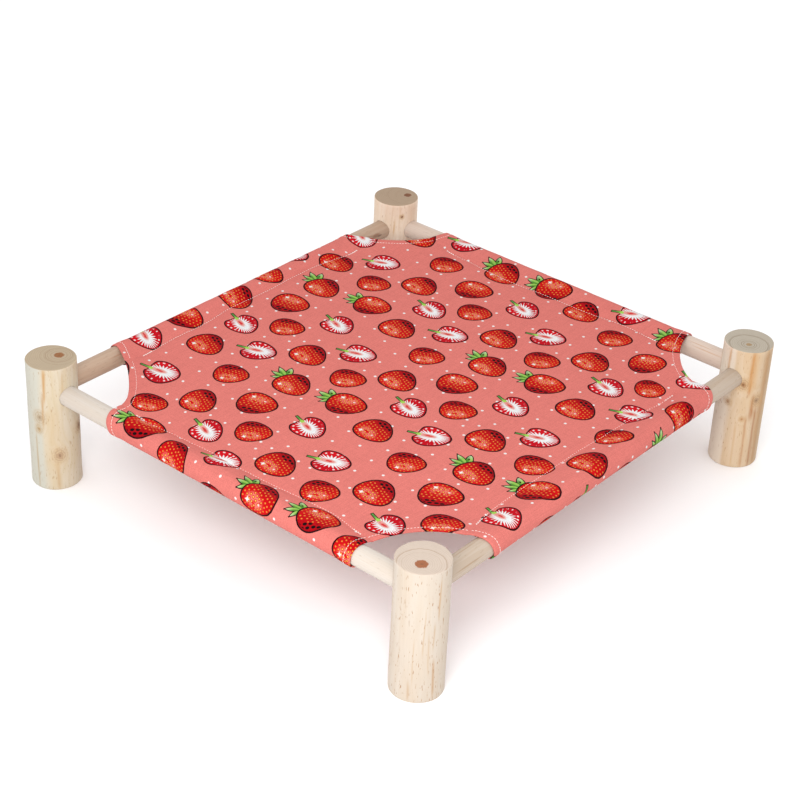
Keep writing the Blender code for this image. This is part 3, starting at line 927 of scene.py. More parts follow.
    # the hem turned under round each cut-out
    for corner, (arc, phi) in arc_ids.items():
        sx, sy = CORNERS[corner]
        arc = ids[where[arc]]
        ex = np.array([cloth.verts[i][0] for i in arc])
        ey = np.array([cloth.verts[i][1] for i in arc])
        ez = np.array([cloth.verts[i][2] for i in arc])
        dx, dy = -sx * np.cos(phi), -sy * np.sin(phi)
        rows = [arc]
        rows.append(cloth.add(ex - dx * 0.00030, ey - dy * 0.00030, ez - 0.00014, ex - dx * 0.00035, ey - dy * 0.00035))
        rows.append(cloth.add(ex - dx * 0.00042, ey - dy * 0.00042, ez - PLY / 2, ex - dx * 0.00070, ey - dy * 0.00070))
        rows.append(cloth.add(ex - dx * 0.00030, ey - dy * 0.00030, ez - PLY + 0.00014, ex - dx * 0.00105,
                              ey - dy * 0.00105))
        for w in HEM_ROWS:
            hx, hy = ex + dx * w, ey + dy * w
            hz = panel_height(hx, hy) - PLY
            k = np.exp(-w / 0.003)
            rows.append(cloth.add(hx, hy, hz * (1 - k) + (ez - PLY) * k, ex - dx * (0.0014 + w),
                                  ey - dy * (0.0014 + w)))
        cloth.grid(np.array(rows), corner in ("front_left", "front_right", "back_right", "back_left"))

    # the sleeves
    q_top = np.linspace(0, Q_TOP, 9)
    q_wrap = np.linspace(Q_TOP, Q_WRAP, 31)[1:]
    q_low = np.linspace(Q_WRAP, 1.0, 9)[1:]
    q = np.concatenate([q_top, q_wrap, q_low])
    for side, (first, second, along_x) in SIDES.items():
        base = seam_s[side]
        m0, m1 = mouth_at(side, first, q), mouth_at(side, second, q)
        m0, m1 = m0 - m0[0] + base[0], m1 - m1[0] + base[-1]
        k = (base - base[0]) / (base[-1] - base[0])
        s = m0[None, :] + (m1 - m0)[None, :] * k[:, None]
        t, z, length, nt, nz, d = profile(side, s, q[None, :])
        d_end = seam_in(side, s)
        flip = side in ("back", "left")

        def sheet_points(s, t, z, flat_s, flat_t):
            x, y = plan(side, s, t)
            u, v = plan(side, flat_s, flat_t)
            return cloth.add(x, y, z, u, v)

        body = sheet_points(s[:, 1:], t[:, 1:], z[:, 1:], s[:, 1:], (d_end - length)[:, 1:])
        ids_all = np.concatenate([seam_ids[side][:, None], body], 1)
        # the seam allowance under the panel
        cols = [ids_all]
        last_len = (d_end - length)[:, -1]
        for w in (0.0016, 0.0034, 0.0056, 0.0082):
            sa = s[:, -1] + np.where(k < 0.5, 1, -1) * np.clip(1 - 12 * np.minimum(k, 1 - k), 0, 1) * w * 0.9
            ta = seam_in(side, sa) + w
            xa, ya = plan(side, sa, ta)
            za = panel_height(xa, ya) + lower_ply(side, sa) - 0.00012 * (1 + PUCKER[side](sa * 0.5, 50 * w))
            za = np.minimum(za, panel_height(xa, ya) - 0.00078)
            cols.append(sheet_points(sa, ta, za, sa, last_len - w)[:, None])
        cloth.grid(np.concatenate(cols, 1), not flip)
        # the hems inside the two mouths
        for row, sign in ((0, 1), (-1, -1)):
            se, te, ze = s[row], t[row], z[row]
            le = (d_end - length)[row]
            ne, me_ = nt[row], nz[row]
            rows = [ids_all[row]]
            for back, inner, run in ((0.00030, 0.00014, 0.00035), (0.00042, PLY / 2, 0.0007),
                                     (0.00030, PLY - 0.00014, 0.00105)):
                rows.append(sheet_points(se - sign * back, te - ne * inner, ze - me_ * inner, se - sign * run, le))
            for w in HEM_ROWS:
                sw = se + sign * w
                tw, zw, _, nw, mw, _ = profile(side, sw, q)
                rows.append(sheet_points(sw, tw - nw * PLY, zw - mw * PLY, se - sign * (0.0014 + w), le))
            cloth.grid(np.array(rows), flip if sign > 0 else not flip)

    cover = make_mesh("canvas_cover", cloth.verts, cloth.faces, mats, cloth.uvs)
    # the printed face outwards everywhere
    bm = bmesh.new()
    bm.from_mesh(cover.data)
    bmesh.ops.recalc_face_normals(bm, faces=bm.faces[:])
    bm.faces.ensure_lookup_table()
    if bm.faces[0].normal.z < 0:
        bmesh.ops.reverse_faces(bm, faces=bm.faces[:])
    bm.to_mesh(cover.data)
    bm.free()
    solid = cover.modifiers.new("cloth_thickness", "SOLIDIFY")
    solid.thickness = 0.00066
    solid.offset = 0.0
    solid.use_even_offset = False
    solid.material_offset = 1
    solid.material_offset_rim = 1
    return cover


# ---------------------------------------------------------------- stitches
def stitch_line(name, marks, mat, length=0.0024, radius=0.00023, rise=0.00020):
    """Thread stitches at marks: (point, direction, normal, length factor). Each is a short arched strand."""
    verts, faces = [], []
    us = np.array([-1.0, -0.90, -0.62, -0.25, 0.25, 0.62, 0.90, 1.0])
    sides = 6
    for p, d, nrm, k in marks:
        p, d, nrm = Vector(p), Vector(d).normalized(), Vector(nrm).normalized()
        nrm = (nrm - d * nrm.dot(d)).normalized()
        side = d.cross(nrm)
        start = len(verts)
        for u in us:
            h = rise * (1 - 2.1 * abs(u) ** 3)
            r = radius * (0.55 + 0.45 * (1 - abs(u) ** 4))
            c = p + d * (u * length * k / 2) + nrm * h
            for i in range(sides):
                a = 2 * math.pi * i / sides
                verts.append(c + side * (r * math.cos(a)) + nrm * (r * 0.85 * math.sin(a)))
        for j in range(len(us) - 1):
            for i in range(sides):
                i2 = (i + 1) % sides
                faces.append((start + j * sides + i, start + j * sides + i2,
                              start + (j + 1) * sides + i2, start + (j + 1) * sides + i))
        faces.append(tuple(start + i for i in reversed(range(sides))))
        faces.append(tuple(start + (len(us) - 1) * sides + i for i in range(sides)))
    ob = make_mesh(name, verts, faces, [mat])
    bm = bmesh.new()
    bm.from_mesh(ob.data)
    bmesh.ops.recalc_face_normals(bm, faces=bm.faces[:])
    bm.to_mesh(ob.data)
    bm.free()
    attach(ob, "root")
    return ob


def even_marks(points, normals, pitch, half_thickness, lift=0.0, jitter=None):
    """Stitches at an even pitch along a dense line of points on the cloth."""
    pts, nor = np.asarray(points), np.asarray(normals)
    seg = np.linalg.norm(np.diff(pts, axis=0), axis=1)
    run = np.concatenate([[0], np.cumsum(seg)])
    count = max(int(run[-1] / pitch), 1)
    pitch = run[-1] / count
    marks = []
    for i in range(count):
        at = (i + 0.5) * pitch
        p = np.array([np.interp(at, run, pts[:, c]) for c in range(3)])
        a = np.array([np.interp(at - 0.0006, run, pts[:, c]) for c in range(3)])
        b = np.array([np.interp(at + 0.0006, run, pts[:, c]) for c in range(3)])
        nn = np.array([np.interp(at, run, nor[:, c]) for c in range(3)])
        nn /= np.linalg.norm(nn)
        d = b - a
        k = 1.0
        if jitter is not None:
            side = np.cross(d / np.linalg.norm(d), nn)
            p = p + side * 0.00010 * jitter(at * 900, 1.0)
            d = d + side * 0.10 * np.linalg.norm(d) * jitter(at * 700, 7.0)
            k = 1.0 + 0.07 * jitter(at * 800, 3.0)
        marks.append((p + nn * (half_thickness + lift), d, nn, k))
    return marks


def panel_surface(x, y):
    """Points on the panel's cloth and their normals."""
    e = 0.0008
    z = panel_height(x, y)
    dx = (panel_height(x + e, y) - panel_height(x - e, y)) / (2 * e)
    dy = (panel_height(x, y + e) - panel_height(x, y - e)) / (2 * e)
    n = np.stack([-dx, -dy, np.ones_like(dx)], -1)
    n /= np.linalg.norm(n, axis=-1, keepdims=True)
    return np.stack([x, y, z], -1), n


def seam_stitches(side, mat):
    """The lockstitch that closes a sleeve, with a few stitches back and forth at each end."""
    first, second, _ = SIDES[side]
    a, b = (v * MM for v in SEWN[side])
    s = np.linspace(a, b, 900)
    off = 0.0009
    x, y = plan(side, s, seam_in(side, s) + off)
    pts, nor = panel_surface(x, y)
    pts[:, 2] -= groove(side, s) * math.exp(-(off / 0.0017) ** 1.4)
    jit = wave_noise(200 + len(side), 5, 1.0, 3.0)
    sunk = {"front": 0.00027, "right": 0.00023, "back": 0.00010, "left": 0.00008}[side]
    marks = even_marks(pts, nor, 0.00302, 0.00033, -sunk, jit)
    under_pts = pts.copy()
    under_pts[:, 2] += lower_ply(side, s) + 0.0001
    marks += even_marks(under_pts[::-1], -nor, 0.00302, 0.00033, 0.0, jit)
    # back-tacks
    for end, way in ((0, 1), (-1, -1)):
        k = slice(0, 40) if end == 0 else slice(-40, None)
        seg, sn = pts[k].copy(), nor[k].copy()
        side_dir = np.cross((seg[-1] - seg[0]) / np.linalg.norm(seg[-1] - seg[0]), [0, 0, 1])
        for shift in (0.00042, -0.00040):
            marks += even_marks(seg + side_dir * shift, sn, 0.0027, 0.00033, 0.0001, jit)
    ob = stitch_line("side_seam_stitches_" + side, marks, mat)
    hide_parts("seam_thread_" + side)
    return ob


def hem_stitches(corner, mat):
    """The topstitching of the hem round a cut-out and on round both sleeves' mouths."""
    sx, sy = CORNERS[corner]
    side_x = "front" if sy < 0 else "back"
    side_y = "left" if sx < 0 else "right"
    inset = 0.0062
    closer = 0.0014 if corner == "front_right" else 0.0
    marks = []
    jit = wave_noise(300 + len(corner), 5, 1.0, 3.0)
    ends = {}
    for side in (side_x, side_y):
        a, b = seam_ends(side)
        _, _, along_x = SIDES[side]
        sign = sx if along_x else sy
        ends[side] = (a if sign < 0 else b, sign)
    s, _ = ends[side_x]
    p0 = plan(side_x, s, seam_in(side_x, s))
    s, _ = ends[side_y]
    p1 = plan(side_y, s, seam_in(side_y, s))
    f0 = math.atan2(HY - sy * float(p0[1]), HX - sx * float(p0[0]))
    f1 = math.atan2(HY - sy * float(p1[1]), HX - sx * float(p1[0]))
    phi = np.linspace(f0, f1, 400)
    r = arc_r(corner, phi) + inset - closer * np.sin(2 * np.clip(phi, 0, math.pi / 2)) ** 2
    x, y = sx * (HX - r * np.cos(phi)), sy * (HY - r * np.sin(phi))
    # only the part that lies on the panel, inside both seams
    tx, ty = HY - sy * y, HX - sx * x
    keep = (tx > seam_in(side_x, x) + 0.0008) & (ty > seam_in(side_y, y) + 0.0008)
    pts, nor = panel_surface(x[keep], y[keep])
    sunk = {"front_left": 0.00024, "front_right": 0.00014, "back_right": 0.00020, "back_left": 0.00006}[corner]
    marks += even_marks(pts, nor, 0.0029, 0.00033, -sunk, jit)
    low = pts.copy()
    low[:, 2] -= PLY
    marks += even_marks(low[::-1], -nor[::-1], 0.0029, 0.00033, 0.0, jit)
    for side in (side_x, side_y):
        _, _, along_x = SIDES[side]
        sign = ends[side][1]
        q = np.linspace(0.02, 0.985, 500)
        m = mouth_at(side, corner, q)
        m0 = mouth_at(side, corner, [0.0])[0]
        m = m - sign * inset
        t, z, _, nt, nz, _ = profile(side, m, q)
        x, y = plan(side, m, t)
        pts = np.stack([x, y, z], -1)
        ix, iy = plan(side, 0.0, 1.0)
        jx, jy = plan(side, 0.0, 0.0)
        inward = np.array([float(ix) - float(jx), float(iy) - float(jy), 0.0])
        nor = nt[:, None] * inward[None, :] + nz[:, None] * np.array([0, 0, 1.0])[None, :]
        marks += even_marks(pts, nor, 0.0029, 0.00033, 0.0, jit)
    ob = stitch_line("hem_stitches_" + corner, marks, mat)
    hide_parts("hem_thread_" + corner)
    return ob


# ---------------------------------------------------------------- the cover's cloth
# The print's repeat: two steps of a half-drop lattice, in millimetres.
REPEAT_A = (219.38, -1.02)
REPEAT_B = (107.30, -158.39)
# how the stretched cloth pulls the print out of true: factors of uv, uu, vv, uuu, uuv, uvv, vvv (u, v in 0.2 m)
PULL_X = (0.32, -1.39, 1.89, 1.16, -1.83, -1.43, -0.98)
PULL_Y = (-1.25, 4.92, -0.84, 0.61, 0.50, -0.14, 0.71)
# and pulls close to the corners: centre x, y, pull x, y, reach (mm)
CORNER_PULLS = ((-142.0, -205.0, 11.0, -7.0, 34.0), (-78.0, -250.0, 8.0, -0.5, 44.0), (-212.0, 168.0, 7.5, -10.6, 34.0),
                (210.0, 168.0, -9.0, -8.0, 36.0), (152.0, -206.0, 1.5, -6.0, 34.0))
# each motif: centre x, y (mm), angle from stem to tip (degrees), mean radius (mm),
# kind (0 whole berry, 1 with its leaves, 2 cut in half), 1 or -1 for the side that is shaded
MOTIFS = (
    (-171.9, 66.6, -21.0, 18.7, 1, 1),
    (-112.3, 75.9, 20.0, 18.8, 1, -1),
    (-63.4, 59.8, -21.0, 18.7, 0, 1),
    (-7.8, 37.9, 27.0, 16.9, 0, 1),
    (-18.8, 86.9, 20.0, 17.4, 2, -1),
    (-173.1, 19.0, 22.0, 19.0, 0, -1),
    (-110.0, 22.4, -20.0, 17.3, 2, 1),
    (-58.0, -5.9, 20.0, 17.4, 2, -1),
    (2.3, -15.5, -21.0, 18.7, 0, 1),
    (-142.2, -17.9, 27.0, 17.0, 0, 1),
    (-177.3, -45.1, -20.0, 17.4, 2, 1),
    (-90.6, -41.1, -21.0, 18.7, 0, 1),
    (-34.3, -47.3, 27.0, 16.9, 0, 1),
)
# dots: first column and row, their pitches; ten columns to a repeat, alternate ones half a pitch lower
DOT_X, DOT_Y, DOT_PITCH_X, DOT_PITCH_Y, DOT_R = -218.0, 133.0, 23.2, 22.5, 1.35


def motif_group():
    """Finds the copy of a motif nearest to a point: its own coordinates there, in mean radii."""
    g = bpy.data.node_groups.new("motif_place", "ShaderNodeTree")
    for name in ("X", "Y", "Centre X", "Centre Y", "Cos", "Sin", "Flip", "Half"):
        g.interface.new_socket(name, in_out="INPUT", socket_type="NodeSocketFloat")
    for name in ("U", "W", "D"):
        g.interface.new_socket(name, in_out="OUTPUT", socket_type="NodeSocketFloat")
    n = Net(g)
    gin, gout = n.node("NodeGroupInput"), n.node("NodeGroupOutput")
    get = {s.name: V(n, s) for s in gin.outputs if s.name}
    x, y = get["X"] - get["Centre X"], get["Y"] - get["Centre Y"]
    (ax, ay), (bx, by) = REPEAT_A, REPEAT_B
    det = ax * by - ay * bx
    k = n.math("ROUND", (y * ax - x * ay) / det)
    x, y = x - k * bx, y - k * by
    k = n.math("ROUND", (x * by - y * bx) / det)
    x, y = x - k * ax, y - k * ay
    u = (x * get["Cos"] + y * get["Sin"]) / get["Half"]
    w = (y * get["Cos"] - x * get["Sin"]) * get["Flip"] / get["Half"]
    n.put(gout.inputs["U"], u)
    n.put(gout.inputs["W"], w)
    n.put(gout.inputs["D"], n.hyp(u + 0.10, w))
    return g


def rounded(n, U, W):
    """Radius of a berry's outline towards a point: a soft three-cornered shape, drawn out at its tip. Also the point's own."""
    rho = n.math("MAXIMUM", n.hyp(U, W), 0.001)
    c = U / rho
    cc = c * c
    tip = n.math("POWER", n.math("MAXIMUM", c, 0.0), 14.0)
    return 1.0 + c * (cc * 4.0 - 3.0) * 0.050 + (cc * 2.0 - 1.0) * 0.028 + tip * 0.055, rho


def seed_field(n, U, W, step_u, step_w, half_u, half_w):
    """Distance from the nearest seed of a staggered field, 1 at a seed's edge."""
    gy = (W + U * 0.12) / step_w
    row = n.math("FLOOR", gy)
    gx = (U - W * 0.12) / step_u + n.math("MODULO", n.math("ABSOLUTE", row), 2.0) * 0.5
    cell = n.xyz(n.math("FLOOR", gx), row, 1.0)
    jig, jog = (n.noise(cell, 3.7, 0.0) - 0.5) * 0.55, (n.noise(cell, 5.3, 0.0) - 0.5) * 0.55
    fx, fy = n.math("FRACT", gx) - 0.5 + jig, n.math("FRACT", gy) - 0.5 + jog
    return n.hyp(fx * (step_u / half_u), fy * (step_w / half_w))


INK = lin(34, 8, 12)


def berry(n, U, W, q, tag, wob):
    """A whole berry's colour: pale seeds on the lit side, black ones on the other, a glossy patch."""
    lean = W * 0.96 - U * 0.08
    dark = n.step(lean + wob * 0.30, 0.40, 0.53)
    red = n.mix(n.step(lean, -0.5, 0.9), lin(224, 12, 18), lin(180, 5, 20))
    # the lit patch: a net of pink between the seeds
    lit = 1.0 - n.step(n.hyp((U - 0.03) * 0.90, (W + 0.34) * 1.50), 0.30, 0.66)
    seed = seed_field(n, U, W, 0.228, 0.182, 0.048, 0.039)
    net = n.step(seed, 1.5, 2.1) * n.step(n.noise(n.xyz(U, W, tag), 4.0, 1.0), 0.34, 0.50)
    red = n.mix(lit * net * 0.82, red, lin(250, 142, 124))
    # a pit round each seed
    red = n.mix((1.0 - n.step(seed, 1.1, 1.9)) * 0.45, red, lin(176, 8, 18))
    tone = n.mix(lit, lin(244, 142, 60), lin(252, 198, 96))
    pale = (1.0 - n.step(seed, 0.70, 1.25)) * (1.0 - dark)
    red = n.mix(pale, red, tone)
    pip = seed_field(n, U + 0.04, W - 0.03, 0.290, 0.205, 0.104, 0.068)
    keep = n.step(lean, 0.45, 0.52) * (1.0 - n.step(q, 0.86, 0.92))
    red = n.mix((1.0 - n.step(pip, 0.92, 1.22)) * dark * keep, red, lin(24, 10, 14))
    # a four-pointed glint and a small round one
    a, b = (U + 0.33) * 0.86 + (W + 0.54) * 0.50, (W + 0.54) * 0.86 - (U + 0.33) * 0.50
    star = n.math("SQRT", n.math("ABSOLUTE", a)) + n.math("SQRT", n.math("ABSOLUTE", b))
    red = n.mix(1.0 - n.step(star, 0.38, 0.52), red, lin(255, 250, 246))
    spot = n.hyp(U - 0.36, W + 0.30)
    red = n.mix((1.0 - n.step(spot, 0.035, 0.075)) * 0.9, red, lin(255, 226, 222))
    red = n.mix(n.step(q, 0.86, 0.93) * 0.55, red, lin(140, 8, 18))
    return n.mix(n.step(q, 0.922, 0.945), red, INK)


def leaf_fan(n, U, W, turn):
    """Four pointed leaves in a fan, the last one curled. Returns how far inside them a point is, and their colour."""
    c, s_ = n.math("COSINE", turn), n.math("SINE", turn)
    u, w = U * c - W * s_ + 0.70, U * s_ + W * c - 0.03
    inside = green = None
    for angle, length, wide in ((-57.0, 0.80, 0.115), (-27.0, 0.97, 0.135), (3.0, 1.07, 0.160), (42.0, 0.92, 0.170)):
        ca, sa = math.cos(math.radians(180 - angle)), math.sin(math.radians(180 - angle))
        along = (u * ca + w * sa) / length
        across = w * ca - u * sa
        swell = n.math("MAXIMUM", along * (1.0 - along), 0.0)
        if angle > 40:
            swell = n.math("POWER", n.math("MAXIMUM", along * (1.02 - along), 0.0), 0.7)
            body = swell * (wide / 0.379) - n.math("ABSOLUTE", across)
        else:
            body = swell * (wide * 4.0) - n.math("ABSOLUTE", across + along * along * 0.05)
        body = n.math("MINIMUM", body, n.math("MINIMUM", along * 0.8, (1.0 - along) * 0.55))
        tone = n.mix(n.step(across, -0.05, 0.06), lin(158, 206, 92), lin(84, 146, 50))
        tone = n.mix(n.step(along, 0.55, 0.95) * 0.45, tone, lin(232, 240, 214))
        if angle > 40:
            hole = n.hyp((along - 0.60) * 0.9, (across - 0.02) * 1.5)
            tone = n.mix(1.0 - n.step(hole, 0.045, 0.09), tone, INK)
        if inside is None:
            inside, green = body, tone
        else:
            green = n.mix(n.math("GREATER_THAN", body, inside), green, tone)
            inside = n.math("MAXIMUM", inside, body)
    foot = 0.34 - n.hyp(u + 0.02, w * 0.80)
    green = n.mix(n.math("GREATER_THAN", foot, inside), green, lin(140, 198, 84))
    inside = n.math("MAXIMUM", inside, foot * 0.5)
    green = n.mix(1.0 - n.step(inside, 0.004, 0.026), green, INK)
    return inside, green


def halved(n, U, W, edge, rho, wob):
    """A halved berry: notched at the stem, white flesh with rays and a pink core. Returns its reach and colour."""
    notch = n.math("EXPONENT", W * W * (-1.0 / 0.25 ** 2)) * n.step(U * -1.0, 0.25, 0.9) * 0.30
    short = n.math("EXPONENT", (W + 0.42) * (W + 0.42) * (-1.0 / 0.28 ** 2)) * n.step(U * -1.0, 0.20, 0.8) * 0.16
    qh = rho / edge + notch + short + wob * 0.03
    fu, fw = (U - 0.06) / 0.70, (W + 0.02) / 0.385
    turn = n.math("ARCTAN2", fw, fu)
    ray = n.math("ABSOLUTE", n.math("FRACT", turn * (25.0 / (2 * math.pi))) - 0.5) * 2.0
    uneven = n.noise(n.xyz(n.math("COSINE", turn), n.math("SINE", turn), 4.0), 5.0, 1.0)
    cut = n.mix(n.step(W, -0.8, 0.8), lin(222, 12, 30), lin(206, 8, 30))
    fleck = (1.0 - n.step(n.math("ABSOLUTE", qh - 0.80), 0.035, 0.062)) * n.step(ray, 0.50, 0.72)
    fleck = fleck * n.step(uneven, 0.42, 0.50)
    cut = n.mix(fleck, cut, lin(255, 240, 236))
    flesh = n.hyp(fu, fw) + (0.36 - ray) * (0.50 + uneven * 0.50)
    white = (1.0 - n.step(flesh, 0.95, 1.06)) * (1.0 - n.step(qh, 0.88, 0.92))
    cut = n.mix(white, cut, lin(250, 250, 250))
    core = n.hyp((U + 0.17) / 0.60, (W + 0.03) / 0.215)
    blush = 1.0 - n.step(core + (0.5 - ray) * 0.20, 0.62, 0.98)
    cut = n.mix(blush * 0.92, cut, lin(240, 158, 146))
    core = n.hyp((U + 0.10) / 0.36, (W + 0.03) / 0.100)
    cut = n.mix((1.0 - n.step(core + wob * 1.5, 0.35, 1.05)) * 0.95, cut, lin(226, 48, 52))
    cut = n.mix(n.step(qh, 0.86, 0.93) * 0.45, cut, lin(140, 6, 24))
    return qh, n.mix(n.step(qh, 0.922, 0.945), cut, INK)


def print_group():
    """The printed pattern: berries, halved berries and white dots. Output: its colour."""
    place = motif_group()
    g = bpy.data.node_groups.new("berry_print", "ShaderNodeTree")
    g.interface.new_socket("X", in_out="INPUT", socket_type="NodeSocketFloat")
    g.interface.new_socket("Y", in_out="INPUT", socket_type="NodeSocketFloat")
    g.interface.new_socket("Color", in_out="OUTPUT", socket_type="NodeSocketColor")
    n = Net(g)
    gin, gout = n.node("NodeGroupInput"), n.node("NodeGroupOutput")
    X, Y = V(n, gin.outputs["X"]), V(n, gin.outputs["Y"])
    u, v = X / 200.0, Y / 200.0
    terms = (u * v, u * u, v * v, u * u * u, u * u * v, u * v * v, v * v * v)
    flat_x, flat_y = X, Y
    for t, px, py in zip(terms, PULL_X, PULL_Y):
        X, Y = X - t * px, Y - t * py
    for cx, cy, px, py, far in CORNER_PULLS:
        away = n.hyp(flat_x - cx, flat_y - cy) * (1.0 / far)
        k = n.math("EXPONENT", away * away * -1.0)
        X, Y = X - k * px, Y - k * py

    U = W = D = K = F = None
    for cx, cy, angle, half, kind, side in MOTIFS:
        p = n.node("ShaderNodeGroup", node_tree=place)
        n.put(p.inputs["X"], X)
        n.put(p.inputs["Y"], Y)
        for key, val in (("Centre X", cx), ("Centre Y", cy), ("Cos", math.cos(math.radians(angle))),
                         ("Sin", math.sin(math.radians(angle))), ("Flip", float(side)), ("Half", half)):
            p.inputs[key].default_value = val
        u, w, d = (V(n, p.outputs[k]) for k in ("U", "W", "D"))
        if kind == 1:
            d = d * 0.90
        if U is None:
            U, W, D = u, w, d
            K, F = n.math("ADD", d * 0.0, float(kind)), n.math("ADD", d * 0.0, float(side))
            continue
        closer = n.math("LESS_THAN", d, D)
        U, W, D = n.mixf(closer, U, u), n.mixf(closer, W, w), n.mixf(closer, D, d)
        K, F = n.mixf(closer, K, float(kind)), n.mixf(closer, F, float(side))

    is_half = n.math("GREATER_THAN", K, 1.5)
    is_leafy = n.math("COMPARE", K, 1.0, 0.4)
    wob = n.noise(n.xyz(X, Y, 0.0), 0.30, 2.0) - 0.5
    edge, rho = rounded(n, U, W)

    q = rho / edge + wob * 0.035
    red = berry(n, U, W, q, K + F * 3.0, wob)
    on = (1.0 - n.step(q, 1.000, 1.022)) * (1.0 - is_half)
    leaf, green = leaf_fan(n, U, W * F, (1.0 - F) * math.radians(7.5))
    leaf_on = n.step(leaf, -0.048, -0.034) * is_leafy
    qh, cut = halved(n, U, W, edge, rho, wob)
    half_on = (1.0 - n.step(qh, 1.000, 1.022)) * is_half
    # a halved berry's stem
    along = U * -1.0 - 0.62
    bend = n.math("ABSOLUTE", W + 0.02 + along * 0.03)
    stem = n.math("MINIMUM", 0.115 - along * 0.02 - bend, n.math("MINIMUM", along + 0.08, 0.70 - along))
    stem_colour = n.mix(n.step(along, 0.05, 0.42), lin(172, 222, 92), lin(96, 158, 72))
    rim = (1.0 - n.step(stem, 0.040, 0.062)) * n.step(along, 0.10, 0.18)
    stem_colour = n.mix(rim, stem_colour, INK)
    stem_on = n.step(stem, -0.004, 0.010) * is_half

    # -------- dots behind them
    (ax, ay), (bx, by) = REPEAT_A, REPEAT_B
    band = n.math("FLOOR", (DOT_Y + DOT_PITCH_Y / 2 - Y) / -by)
    spots = None
    for back in (0.0, 1.0):
        j = band - back
        x, y = X - DOT_X - j * bx, Y - DOT_Y - j * by
        k = n.math("FLOOR", (x + 5.5) / ax)
        x, y = x - k * ax, y - k * ay
        col = n.math("MINIMUM", n.math("ROUND", x / DOT_PITCH_X), 9.0)
        odd = n.math("MODULO", n.math("ABSOLUTE", col), 2.0)
        down = y * -1.0 - odd * (DOT_PITCH_Y / 2)
        row = n.math("MAXIMUM", n.math("ROUND", down / DOT_PITCH_Y), 0.0)
        row = n.math("MINIMUM", row, 7.0 - odd)
        d = n.hyp(x - col * DOT_PITCH_X, down - row * DOT_PITCH_Y)
        spots = d if spots is None else n.math("MINIMUM", spots, d)
    dots = 1.0 - n.step(spots + wob * 0.5, DOT_R - 0.25, DOT_R + 0.22)

    colour = lin(236, 131, 122)
    colour = n.mix(dots, colour, lin(252, 248, 246))
    colour = n.mix(half_on, colour, cut)
    colour = n.mix(stem_on, colour, stem_colour)
    colour = n.mix(leaf_on, colour, green)
    colour = n.mix(on, colour, red)
    n.put(gout.inputs["Color"], colour)
    return g


def weave(n, X, Y):
    """Plain weave of 0.85 mm threads: height, 0 to 1, and a slow change from thread to thread."""
    pitch = 0.85
    su = n.math("SINE", X * (math.pi / pitch))
    sv = n.math("SINE", Y * (math.pi / pitch))
    over = n.math("MULTIPLY_ADD", su * sv, 2.2, 0.5)
    over = n.math("MINIMUM", n.math("MAXIMUM", over, 0.0), 1.0)
    au, av = n.math("ABSOLUTE", su), n.math("ABSOLUTE", sv)
    height = n.mixf(over, av * 0.8 + au * 0.2, au * 0.8 + av * 0.2)
    slub = n.noise(n.xyz(X * 0.06, Y * 1.0, 0.0), 1.1, 2.0) + n.noise(n.xyz(X * 1.0, Y * 0.06, 5.0), 1.1, 2.0) - 1.0
    return height, slub


CLOTH_TONE = 0.680


def canvas(name, print_tree, reverse=False):
    m, n, b = new_material(name, 0.92, 0.05)
    u, v, _ = n.parts(n.uv())
    X, Y = u * 1000.0, v * 1000.0
    p = n.node("ShaderNodeGroup", node_tree=print_tree)
    # ink creeps a little along the threads
    n.put(p.inputs["X"], X + (n.noise(n.xyz(X, Y, 11.0), 1.3, 1.0) - 0.5) * 0.35)
    n.put(p.inputs["Y"], Y + (n.noise(n.xyz(X, Y, 17.0), 1.3, 1.0) - 0.5) * 0.35)
    colour = V(n, p.outputs["Color"])
    height, slub = weave(n, X, Y)
    if reverse:
        # the back of the cloth: unprinted cotton with the print showing through faintly
        colour = n.mix(0.30, lin(238, 214, 206), colour)
        colour = n.mix(n.step(n.noise(n.xyz(X, Y, 1.0), 0.5, 3.0), 0.45, 0.7) * 0.18, colour, lin(240, 198, 188))
    pill = n.noise(n.xyz(X, Y, 23.0), 1.25, 2.0) - 0.5
    # the weave's height lightens the thread crowns and darkens the hollows between threads, which is painted shade;
    # slubs, pills and a slow drift vary the yarn's own tone
    shade = 0.94 + height * 0.075 + slub * 0.24 + pill * 0.60 + (n.noise(n.xyz(X, Y, 3.0), 0.02, 2.0) - 0.5) * 0.06
    colour = n.scaled(colour, shade * CLOTH_TONE)
    n.put(b.inputs["Base Color"], colour)
    b.inputs["Sheen Weight"].default_value = 0.01
    b.inputs["Sheen Roughness"].default_value = 0.60
    fuzz = n.noise(n.xyz(X, Y, 0.0), 6.0, 2.0)
    n.put(b.inputs["Roughness"], 0.84 + fuzz * 0.10)
    n.put(b.inputs["Normal"], n.bump(height * 0.8 + slub * 0.8 + fuzz * 0.25, 0.45, 0.00016))
    return m


def thread_material():
    """Twisted white sewing thread, hairy in tone, with faint darker stripes along its twist."""
    m, n, b = new_material("white_thread", 0.62, 0.3)
    x, y, z = n.parts(n.place())
    x, y, z = x * 1000.0, y * 1000.0, z * 1000.0
    ply = n.math("SINE", (x + y * 1.3 + z * 1.7) * 16.0)
    hair = n.noise(n.xyz(x, y, z), 3.0, 3.0)
    col = n.mix(hair, lin(250, 243, 238), lin(232, 214, 208))
    col = n.mix((ply * 0.5 + 0.5) * 0.18, col, lin(205, 180, 174))
    n.put(b.inputs["Base Color"], col)
    b.inputs["Sheen Weight"].default_value = 0.2
    n.put(b.inputs["Normal"], n.bump(ply * 0.5 + hair, 0.5, 0.00006))
    return m
